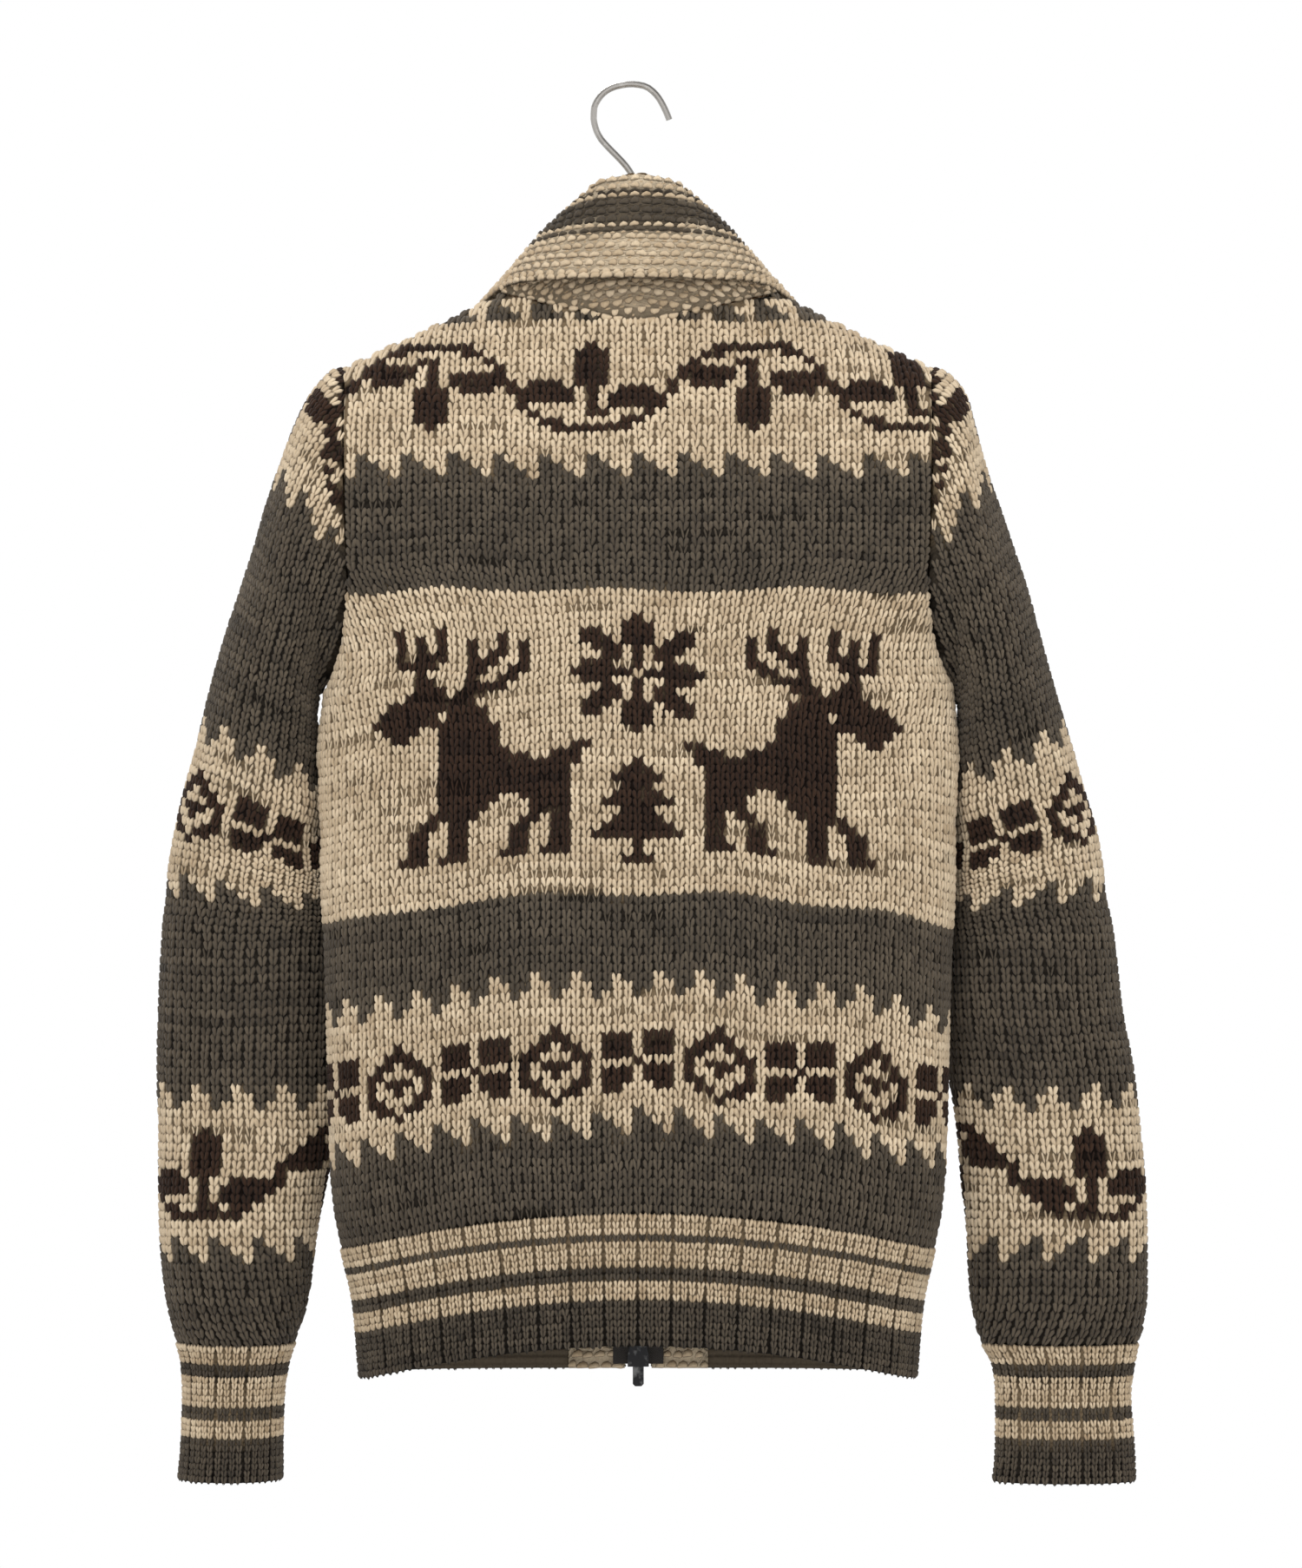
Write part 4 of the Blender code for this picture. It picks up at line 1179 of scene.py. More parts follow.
STAG = (
    ".........................",
    "........#.....#...#......",
    "......#.#..#..#.#.#......",
    "......#.##.#..#.#.#......",
    "......#..###..###.#......",
    "......##..##...####......",
    ".......##..#....#........",
    "........####...##........",
    "..........###.###........",
    "...........#######.......",
    "..........##########.....",
    "..........####.######....",
    ".........#############...",
    ".........######..####....",
    ".........######...##.....",
    "##......#######..........",
    ".###..#########..........",
    ".##############..........",
    "..#############..........",
    "..#############..........",
    "..#############..........",
    "..#####..######..........",
    "..####....#####..........",
    "..####.....#####.........",
    "..##.##.....##.##........",
    "..##..##....##..##.......",
    "..##..##....##..##.......",
    "..##..##....##..##.......",
    "..###.###...###.###......",
)
STAR = (
    "......#......",
    ".....###.....",
    ".##..###..##.",
    ".###.###.###.",
    "..###.#.###..",
    "...##.#.##...",
    ".###..#..###.",
    "######.######",
    ".###..#..###.",
    "...##.#.##...",
    "..###.#.###..",
    ".###.###.###.",
    ".##..###..##.",
    ".....###.....",
    "......#......",
)
FIR = (
    ".....#.....",
    "....###....",
    "...#####...",
    "....###....",
    "...#####...",
    "..#######..",
    "....###....",
    "...#####...",
    "..#######..",
    ".#########.",
    ".....#.....",
    ".....#.....",
    "....###....",
)
BODY_BANDS = (
    Band("grey", 8), Band("teeth_down", 4), Band("flowers", 11), Band("cream", 2), Band("teeth_up", 4),
    Band("grey", 8), Band("stags", 38), Band("grey", 14), Band("teeth_down", 4), Band("cream", 3),
    Band("scroll", 12, 18), Band("cream", 3), Band("teeth_down", 3, 1), Band("grey", 20),
)
SLEEVE_BANDS = (
    Band("grey", 10), Band("teeth_down", 3), Band("cream", 2), Band("scroll", 11, 7), Band("cream", 2),
    Band("teeth_up", 4), Band("grey", 20), Band("teeth_down", 4), Band("cream", 4), Band("flowers", 9, 4),
    Band("cream", 3), Band("teeth_up", 4), Band("grey", 26), Band("teeth_down", 4), Band("cream", 2),
    Band("scroll", 12), Band("cream", 60),
)
HEM_BANDS = (
    Band("grey", 7), Band("cream", 3), Band("grey", 2), Band("cream", 4), Band("grey", 1), Band("cream", 3),
)
CUFF_BANDS = (
    Band("grey", 7), Band("cream", 3), Band("grey", 2), Band("cream", 5), Band("grey", 2), Band("cream", 3),
)
# The collar's ridges from its free edge: their yarn, how many and how high.
RIDGES = (
    (Yarn.CREAM, 5, 5.7), (Yarn.GREY, 1, 3.0), (Yarn.CREAM, 1, 3.0), (Yarn.GREY, 3, 6.0), (Yarn.CREAM, 1, 3.0),
    (Yarn.GREY, 1, 2.4), (Yarn.CREAM, 24, 6.2),
)


def yarn_and_shade_colours(depth: float) -> Points:
    """The yarns' colours in the order of Yarn with painted shade, from the painted shade between stitches at 0 to the
    plain yarn at 1.
    """
    deep, light = (np.array([getattr(wool, key) for wool in WOOLS.values()]) for key in ("deep", "light"))
    return deep * SHADE_IN_GAPS * (1 - depth) + light * SHADE_OF_PLAIN * depth


SHADE_IN_GAPS = 0.45  # of the yarn's deep colour
SHADE_OF_PLAIN = 0.7  # of its light colour
HALF_SHADE = 0.55  # how far from one to the other the ground is where it shows
BARE_DISTANCE = 5.5  # how far in mm from any stitch the ground shows
LOW_RIDGE = 2.7  # a garter ridge that is lower than this, in mm, lies in the hollow between two ridges, where its tone is darkened as painted shade
TONE_RUN, TONE_STITCH = 0.5, 0.18  # how far the tone differs along the yarn and from stitch to stitch
SLUB_RUN, SLUB_STITCH = 0.14, 0.03  # how far its fullness does
SHIFT, WAVE = 0.045, 0.11  # how far a stitch strays, and how far the rows wave, in shares of a stitch
WOOLS = {
    Yarn.CREAM: Wool("cream_wool_yarn", (0.82, 0.67, 0.475), (0.40, 0.29, 0.175)),
    Yarn.GREY: Wool("grey_wool_yarn", (0.135, 0.106, 0.074), (0.036, 0.028, 0.02), 0.1),
    Yarn.BROWN: Wool("brown_wool_yarn", (0.05, 0.025, 0.014), (0.016, 0.008, 0.005), 0.06),
}


@dataclass
class Workshop:
    """The finishes and tools that every knitted piece shares."""

    body: BodyForm = field(default_factory=BodyForm)
    creases: tuple[Crease, ...] = ()
    stitches: dict[str, bpy.types.Object] = field(default_factory=dict)
    wools: dict[Yarn, bpy.types.Material] = field(default_factory=dict)
    ground: bpy.types.Material | None = None
    planter: Planter | None = None

    def open(self) -> None:
        """Make the yarns, the shapes of the stitches and the tree that plants them."""
        self.wools = {yarn: wool.build() for yarn, wool in WOOLS.items()}
        self.ground = Ground("knit_ground").build()
        for shape in (FULL_STITCH, LIGHT_STITCH, THIN_STITCH, GARTER_BEAD):
            self.stitches[shape.name] = shape.build(self.ground)
        self.planter = Planter()

    def close(self) -> None:
        """Remove the shapes that were only planted."""
        for obj in self.stitches.values():
            bpy.data.objects.remove(obj, do_unlink=True)
        bpy.data.node_groups.remove(self.planter.group)


@dataclass
class Cloth:
    """One knitted piece: a thin closed shell, and its stitches by yarn."""

    shop: Workshop
    name: str
    node: str
    shape: str
    flat: tuple[float, float]
    area: float
    seed: int
    unevenness: tuple[float, float] = (0.07, 0.07)  # in size and in lean
    rests_on: tuple[str, ...] = ("hanger",)

    def shell(
        self, outer: Points, inner: Points, stitches: StitchRows, yarn: Points, wrap: bool = False
    ) -> bpy.types.Object:
        """Make the shell and colour it as the stitches that lie on it, with painted shade between them on its outer
        face.

        Args:
            outer: Points of its outer face, rows upwards and columns to the right.
            inner: Points of its inner face.
            stitches: The stitches, joined.
            yarn: The yarn of each stitch.
            wrap: Whether the last column meets the first.

        Returns:
            The shell.
        """
        rows, cols = outer.shape[:2]
        points = np.concatenate([outer.reshape(-1, 3), inner.reshape(-1, 3)])
        made = make_mesh(self.name, points, shell_faces(rows, cols, wrap), self.shop.ground)
        tree = kdtree.KDTree(len(yarn))
        for k, place in enumerate(stitches.place[0]):
            tree.insert(place, k)
        tree.balance()
        found = [tree.find(point) for point in points]
        nearest, bare = np.array([hit[1] for hit in found]), np.array([hit[2] > BARE_DISTANCE for hit in found])
        # Painted shade: the outer face takes the yarn's deep colour darkened as the shade between stitches. It takes
        # half that shade where no stitch is near and on garter pieces. The inner face takes the plain yarn.
        colour = np.ones((len(points), 4))
        colour[:, :3] = yarn_and_shade_colours(HALF_SHADE if self.shape == "garter_bead" else 0.0)[yarn[nearest]]
        colour[bare, :3] = yarn_and_shade_colours(HALF_SHADE)[yarn[nearest[bare]]]
        colour[rows * cols :, :3] = yarn_and_shade_colours(1.0)[yarn[nearest[rows * cols :]]]
        made.data.attributes.new("dye", "FLOAT_COLOR", "POINT").data.foreach_set("color", colour.ravel())
        grid = np.stack([stitches.column[0][nearest], stitches.row[0][nearest]], axis=1).astype(float)
        corners = np.empty(len(made.data.loops), np.int32)
        made.data.loops.foreach_get("vertex_index", corners)
        made.data.uv_layers.new(name="Stitches").data.foreach_set("uv", grid[corners].ravel())
        return made

    def dress(self, shell: bpy.types.Object, stitches: StitchRows, yarn: Points, thin: bool = True) -> None:
        """Args:
            shell: The piece's shell.
            stitches: The stitches, joined.
            yarn: The yarn of each stitch.
            thin: Whether the yarn has thin places.
        """
        random = np.random.default_rng(self.seed)
        count = len(yarn)
        slub = np.convolve(random.normal(0, 1, count), np.ones(7) / 7, mode="same")
        run = np.convolve(random.normal(0, 1, count), np.ones(11) / 11, mode="same")
        # Pieces without thin places start from a lower tone. As painted shade, a garter ridge lower than LOW_RIDGE lies
        # in the hollow between two ridges and gets a much darker tone.
        low = np.linalg.norm(stitches.up[0], axis=1) < LOW_RIDGE
        level = np.where(thin, 0.5, 0.26 - 0.6 * low)
        tone = np.clip(level + TONE_RUN * run + random.normal(0, TONE_STITCH, count), -0.4, 1)
        thick = np.clip(1.0 + SLUB_RUN * slub + random.normal(0, SLUB_STITCH, count), 0.8, 1.16)
        slack = (slub < np.where(yarn == Yarn.CREAM.value, -0.6, -0.75)) & thin
        x, z = stitches.place[0][:, 0], stitches.place[0][:, 2]
        shift = random.normal(0, SHIFT, (count, 2))
        shift[:, 1] += WAVE * (np.sin(x / 14 + z / 41) + np.sin(x / 25 - z / 33 + 2)) * thin
        moved = stitches.place[0] + shift[:, :1] * stitches.across[0] + shift[:, 1:] * stitches.up[0]
        stitches = StitchRows([moved], stitches.across, stitches.up, stitches.column, stitches.row)
        for colour, thinned in ((colour, thinned) for colour in Yarn for thinned in (False, True)):
            mask = (yarn == colour.value) & (slack == thinned)
            if not mask.any():
                continue
            piece = self.shop.planter.plant(
                f"{self.name}_{colour.name.lower()}_{'thin_' if thinned else ''}stitches", stitches.kept(mask),
                self.shop.stitches["thin_stitch" if thinned else self.shape],
                self.shop.wools[colour], thick[mask], tone[mask], self.seed, *self.unevenness,
            )
            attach(piece, "garment")
        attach(shell, "garment")
        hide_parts(self.node)
        LOG.info("%s dressed with %d stitches", self.name, count)

    def dress_both_sides(self, outer: Points, inner: Points, rows: StitchRows, yarn: Points, thin: bool) -> None:
        """Build and dress a left piece, and the same piece on the wearer's right.

        Args:
            outer: Points of the left piece's outer face.
            inner: Points of its inner face.
            rows: Its stitches, joined.
            yarn: The yarn of each stitch.
            thin: Whether the yarn has thin places.
        """
        self.dress(self.shell(outer, inner, rows, yarn), rows, yarn, thin)
        names = {"name": self.name.replace("left", "right"), "node": self.node.replace("left", "right")}
        right, other = replace(self, seed=self.seed + 1, **names), rows.flipped()
        right.dress(right.shell(mirrored(outer), mirrored(inner), other, yarn), other, yarn, thin)


@dataclass
class BodyPanels:
    """The back and the two fronts, from the hem ribs to the shoulders."""

    shop: Workshop
    shell_sink: float = 0.7
    wall: float = 2.0
    lower_pitch: float = 6.54
    yoke_pitch: float = 7.1
    centre_rows: tuple[tuple[float, float, int], ...] = (
        (-696.0, -500.0, 37),
        (-500.0, -315.0, 38),
        (-315.0, -119.7, 42),
    )
    columns_below: int = 72
    wave: float = 1.7
    wave_across: float = 17.0
    wave_up: float = 60.0
    wave_levels: tuple[float, ...] = (-690.0, -630.0, -310.0, -250.0)  # where it fades in and out

    def levels(self) -> Points:
        """Levels of the knit rows at the centre of the back, the lowest first."""
        parts = [low + (np.arange(count) + 0.5) * (high - low) / count for low, high, count in self.centre_rows]
        return np.concatenate(parts)

    def front_level(self, level: float) -> float:
        """The level at the centre of the front of a row that meets the back's at the side seam."""
        body = self.shop.body
        side = level - float(smooth(np.array(level), BOW["z"], BOW["drop"]))
        share = np.clip((side - body.underarm_z) / (body.side_rib_top_z - body.underarm_z), 0, 1)
        return side + share * (body.front_rib_top_z - body.side_rib_top_z)

    def stitches(self, front: bool) -> StitchRows:
        """Set the stitches of the back, or of the left front.

        Args:
            front: Whether it is the front.

        Returns:
            The stitches, joined.
        """
        body, rows = self.shop.body, StitchRows()
        first = body.band_outer_x / body.shoulder_x if front else -1.0
        u = around(160, first, 1.0)
        lines, starts, pitches = [], [], []
        for level in self.levels():
            centre = self.front_level(level) if front else level
            line = body.row(u if front else -u, centre, front)
            if front:
                line = line[line[:, 0] >= body.band_outer_x - 4]
            line = folded_line(line, self.shop.creases)
            wave = self.wave * np.sin(line[:, 0] / self.wave_across + level / self.wave_up)
            line[:, 2] += wave * np.interp(level, self.wave_levels, (0, 1, 1, 0))
            length = np.linalg.norm(np.diff(line, axis=0), axis=1).sum()
            near = np.interp(level, [-400, -300], [0, 1])
            below = self.lower_pitch if front else length / self.columns_below
            pitch = below + (self.yoke_pitch - below) * near
            lines.append(line)
            pitches.append(pitch)
            starts.append(0.0 if front else length / 2 - pitch / 2)
        rows.add_rows(lines, starts, pitches)
        rows = rows.joined()
        x, z = rows.place[0][:, 0], rows.place[0][:, 2]
        top = body.top(x, front)[0]
        clear = z < top - 0.8
        return rows.kept(clear & (x > body.band_outer_x + 1.0) if front else clear)

    def panel(self, front: bool, cols: int, lower: int = 40, upper: int = 42) -> tuple[Points, Points]:
        """Lay out the outer form of the back or the left front, and its outward directions.

        Args:
            front: Whether it is the front.
            cols: Columns of faces.
            lower: Rows of faces below the underarm.
            upper: Rows of faces above it.

        Returns:
            The points and the normals.
        """
        body = self.shop.body
        u = around(cols, body.band_outer_x / body.shoulder_x, 1.0) if front else -around(cols)
        top_level = body.top(body.shoulder_x * u, front)[0]
        bow = 0.0 if front else float(smooth(np.array(body.underarm_z), BOW["z"], BOW["drop"]))
        base = (body.front_rib_top_z if front else body.back_rib_top_z) + body.seam / 2
        middle, rows = body.underarm_z + bow, []
        for t in np.arange(lower) / lower:
            centre = base + t * (middle - base)
            side = body.side_rib_top_z + body.seam / 2 + t * (body.underarm_z - body.side_rib_top_z)
            if not front:
                side = centre - smooth(np.array(centre), BOW["z"], BOW["drop"])
            rows.append(centre + (side - centre) * u**2)
        start = middle + (body.underarm_z - middle) * u**2
        for k in range(upper + 1):
            rows.append(start + (top_level - start) * (1 - math.cos(math.pi * k / upper)) / 2)
        z = np.array(rows)
        x = body.half(z) * u
        if front:
            x[:, 0] = body.band_outer_x
        points = body.at(x, z, front)
        points = folded(points, self.shop.creases)
        normals = normals_of(points)
        normals[np.abs(points[..., 1]) < 0.01, 1] = 0
        normals[0, :, 2] = 0
        if front:
            normals[:, 0, 0] = 0
        return points + np.array([0, -0.2 if front else 0.2, 0]), unit(normals)

    def purl_side(self, rows: StitchRows, yarn: Points) -> None:
        """Plant the purl side of the back where the neck shows it.

        Args:
            rows: The back's stitches, joined.
            yarn: Their yarns.
        """
        x, z = rows.place[0][:, 0], rows.place[0][:, 2]
        shown = (np.abs(x) < 92) & (z > -300)
        seen = rows.kept(shown)
        out = unit(np.cross(seen.across[0], seen.up[0]))
        place = seen.place[0] - (self.shell_sink + self.wall + 0.1) * out
        seen = StitchRows([place], [-seen.across[0]], seen.up, seen.column, seen.row)
        random = np.random.default_rng(14)
        tone = np.clip(random.normal(0.45, 0.18, len(place)), 0, 1)
        for colour in Yarn:
            mask = yarn[shown] == colour.value
            piece = self.shop.planter.plant(
                f"back_knit_{colour.name.lower()}_purl_side", seen.kept(mask), self.shop.stitches["garter_bead"],
                self.shop.wools[colour], np.ones(mask.sum()), tone[mask], 14, 0.1, 0.12,
            )
            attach(piece, "garment")

    def build(self) -> None:
        """Build and dress the three panels."""
        pattern = Pattern(BODY_BANDS)
        rows = self.stitches(False)
        yarn = pattern.read(rows.column[0], rows.row[0])
        points, normals = self.panel(False, 66)
        back = Cloth(self.shop, "back_knit", "back_panel", "full_stitch", (0.44, 0.58), 0.235, 11)
        outer, inner = points - self.shell_sink * normals, points - (self.shell_sink + self.wall) * normals
        back.dress(back.shell(outer, inner, rows, yarn), rows, yarn)
        self.purl_side(rows, yarn)
        rows = self.stitches(True)
        yarn = Pattern(FRONT_BANDS).read(rows.column[0], rows.row[0])
        points, normals = self.panel(True, 30)
        outer, inner = points - self.shell_sink * normals, points - (self.shell_sink + self.wall) * normals
        left = Cloth(self.shop, "left_front_knit", "left_front_panel", "light_stitch", (0.2, 0.58), 0.095, 12)
        left.dress_both_sides(outer, inner, rows, yarn, True)


FRONT_BANDS = tuple(Band("firs", band.rows, -5) if band.kind == "stags" else band for band in BODY_BANDS)


def folded_line(line: Points, creases: tuple[Crease, ...]) -> Points:
    """Raise and sink a knit row along the creases, straight out from the plane of the arms.

    Args:
        line: The row's points.
        creases: The creases that cross it.

    Returns:
        The row with its creases.
    """
    along = unit(np.gradient(line, axis=0))
    return line + lift_of(line, creases) * unit(np.cross(along, np.array([0.0, 0.0, 1.0])))


@dataclass
class Sleeves:
    """The two sleeves, set in at the armholes."""

    shop: Workshop
    pitch: float = 5.3
    width: float = 7.1
    shell_sink: float = 0.7
    wall: float = 2.0

    def build_one(self, side: str, table: dict[str, Points], seed: int) -> None:
        """Build and dress one sleeve.

        Args:
            side: The wearer's side.
            table: The sleeve's rings.
            seed: The seed of its unevenness.
        """
        form = SleeveForm(table, self.shop.body)
        lines = [folded_ring(line, self.shop.creases) for line in form.rows(self.pitch, 150)]
        starts, pitches = [], []
        for line in lines:
            length = lengths_along(line)
            starts.append(length[len(line) // 2] - self.width / 2)
            pitches.append(self.width)
        rows = StitchRows()
        rows.add_rows(lines, starts, pitches)
        rows = rows.joined()
        pattern = Pattern(SLEEVE_BANDS)
        yarn = pattern.read(rows.column[0], rows.row[0])
        angles = np.arange(44) * 2 * math.pi / 44
        grid = folded(form.grid(angles, 104), self.shop.creases, True)
        normals = normals_of(grid, True)
        normals[0, :, 2] = 0
        normals[-1, :, 0] = 0
        normals = unit(normals)
        outer, inner = grid - self.shell_sink * normals, grid - (self.shell_sink + self.wall) * normals
        if side == "right":
            rows, outer, inner = rows.flipped(), mirrored(outer), mirrored(inner)
        cloth = Cloth(self.shop, f"sleeve_{side}_knit", f"sleeve_{side}", "light_stitch", (0.42, 0.62), 0.2, seed)
        cloth.dress(cloth.shell(outer, inner, rows, yarn, True), rows, yarn)

    def build(self) -> None:
        """Build both sleeves."""
        self.build_one("left", LEFT_SLEEVE, 21)
        self.build_one("right", RIGHT_SLEEVE, 22)


def folded_ring(line: Points, creases: tuple[Crease, ...]) -> Points:
    """Raise and sink a row round a sleeve along the creases.

    Args:
        line: The row's points, the sleeve's outer line in their middle.
        creases: The creases that cross it.

    Returns:
        The row with its creases.
    """
    middle = (line[len(line) // 2] + (line[0] + line[-1]) / 2) / 2
    out = line - middle
    out[:, 2] = 0
    return line + lift_of(line, creases) * unit(out)


@dataclass
class Ribs:
    """The ribbed hems and cuffs: four knit columns and a purl groove to each rib."""

    shop: Workshop
    rise: float = 1.5
    wall: float = 1.8
    sink: float = 0.9
    knit_columns: int = 4
    rib_rows: int = 20
    cuff_rows: int = 22

    def columns_of(self, count: int) -> tuple[Points, Points]:
        """Lay the ribs' faces out.

        Args:
            count: The number of ribs.

        Returns:
            Shares of the way round, and how high each is raised.
        """
        phases = np.array([0.0, 0.03, 0.12, 0.5, 0.88, 0.97])
        heights = np.array([0.1, 0.6, 1.0, 1.12, 1.0, 0.6]) * self.rise
        steps = (np.arange(count)[:, None] + phases).ravel() / count
        return np.append(steps, 1.0), np.append(np.tile(heights, count), heights[0])

    def stitches(self, lines: list[Points], ribs: int) -> StitchRows:
        """Set the knit columns of each rib.

        Args:
            lines: One line of points for each row, lowest first.
            ribs: The number of ribs.

        Returns:
            The stitches, joined, on the raised ribs.
        """
        column = np.arange(ribs * self.knit_columns)
        inside = (column % self.knit_columns + 0.5) / self.knit_columns
        share = (column // self.knit_columns + 0.03 + 0.94 * inside) / ribs
        half = 0.47 / self.knit_columns / ribs
        at = [lengths_along(line) for line in lines]

        def read(j: int, shares: Points) -> Points:
            """Points of row j at shares of its length."""
            return read_along(shares * at[j][-1], at[j], lines[j])

        rows = StitchRows()
        for j in range(len(lines)):
            above, below = min(j + 1, len(lines) - 1), max(j - 1, 0)
            across = read(j, share + half) - read(j, share - half)
            up = (read(above, share) - read(below, share)) / (above - below)
            out = unit(np.cross(across, up))
            lift = self.rise * (1.06 - 0.35 * (np.abs(inside - 0.5) * 2) ** 2) - 0.3
            rows.place.append(read(j, share) + lift[:, None] * out)
            rows.across.append(across)
            rows.up.append(up)
            rows.column.append(column)
            rows.row.append(np.full(len(column), j))
        return rows.joined()

    def hem_line(self, shares: Points, t: float, front: bool) -> Points:
        """Follow a row of the hem rib.

        Args:
            shares: Even shares of the way round.
            t: The row's height, 0 at the hem and 1 at the top of the rib.
            front: Whether it is the left front.

        Returns:
            The row's points, to the right seen from outside.
        """
        body = self.shop.body
        half = EDGE["half"][1]
        fine = around(400, body.band_outer_x / half if front else -1.0, 1.0)
        ring = body.at(fine * half, np.full(len(fine), EDGE["z"][1]), front)
        length = lengths_along(ring)
        u = np.interp(shares * length[-1], length, fine) * (1 if front else -1)
        low, high = (body.front_hem_z, body.front_rib_top_z) if front else (body.back_hem_z, body.back_rib_top_z)
        middle = low + t * (high - 0.2 - low)
        side = body.side_hem_z + t * (body.side_rib_top_z - 0.2 - body.side_hem_z)
        z = middle + (side - middle) * u**2
        x = body.half(z) * u
        if front:
            x[0] = body.band_outer_x
        return body.at(x, z, front) + np.array([0, -0.2 if front else 0.2, 0])

    def wall_of(self, points: Points, heights: Points, wrap: bool) -> tuple[Points, Points]:
        """Raise the ribs on a grid.

        Args:
            points: Points of the plain form.
            heights: How high each column is raised.
            wrap: Whether the last column meets the first.

        Returns:
            The outer and the inner points.
        """
        normals = normals_of(points, wrap)
        normals[-1, :, 2] = 0
        if not wrap:
            normals[np.abs(points[..., 1]) < 0.3, 1] = 0
        normals = unit(normals)
        return points + (heights[:, None] - self.sink) * normals, points - (self.sink + self.wall) * normals

    def build(self) -> None:
        """Build the three hem ribs and the two cuffs."""
        levels = (np.arange(self.rib_rows) + 0.5) / self.rib_rows
        for front, ribs, name in ((False, 20, "hem_rib_back"), (True, 8, "hem_rib_left_front")):
            even = np.linspace(0, 1, ribs * 10 + 1)
            rows = self.stitches([self.hem_line(even, t, front) for t in levels], ribs)
            steps, heights = self.columns_of(ribs)
            grid = np.array([self.hem_line(steps, t, front) for t in np.linspace(0, 1, 10)])
            outer, inner = self.wall_of(grid, heights, False)
            yarn = Pattern(HEM_BANDS).read(rows.column[0], rows.row[0])
            flat = (0.19, 0.085) if front else (0.46, 0.085)
            cloth = Cloth(self.shop, name + "_knit", name, "light_stitch", flat, flat[0] * flat[1], 31 + front)
            if front:
                cloth.dress_both_sides(outer, inner, rows, yarn, False)
            else:
                cloth.dress(cloth.shell(outer, inner, rows, yarn), rows, yarn, False)
        for side, table, seed in (("left", LEFT_CUFF, 34), ("right", RIGHT_CUFF, 35)):
            form = CuffForm(table)
            low, high = table["z"][-1], table["z"][0]
            steps, heights = self.columns_of(10)
            levels = low + (np.arange(self.cuff_rows) + 0.5) / self.cuff_rows * (high - low)
            turn = np.linspace(0, 2 * math.pi, 101)
            rows = self.stitches([form.ring(turn, z) for z in levels], 10)
            grid = np.array([form.ring(steps[:-1] * 2 * math.pi, z) for z in np.linspace(low, high, 10)])
            outer, inner = self.wall_of(grid, heights[:-1], True)
            yarn = Pattern(CUFF_BANDS).read(rows.column[0], rows.row[0])
            if side == "right":
                rows, outer, inner = rows.flipped(), mirrored(outer), mirrored(inner)
            cloth = Cloth(self.shop, f"cuff_{side}_knit", f"cuff_{side}", "light_stitch", (0.22, 0.09), 0.0185, seed)
            cloth.dress(cloth.shell(outer, inner, rows, yarn, True), rows, yarn, False)


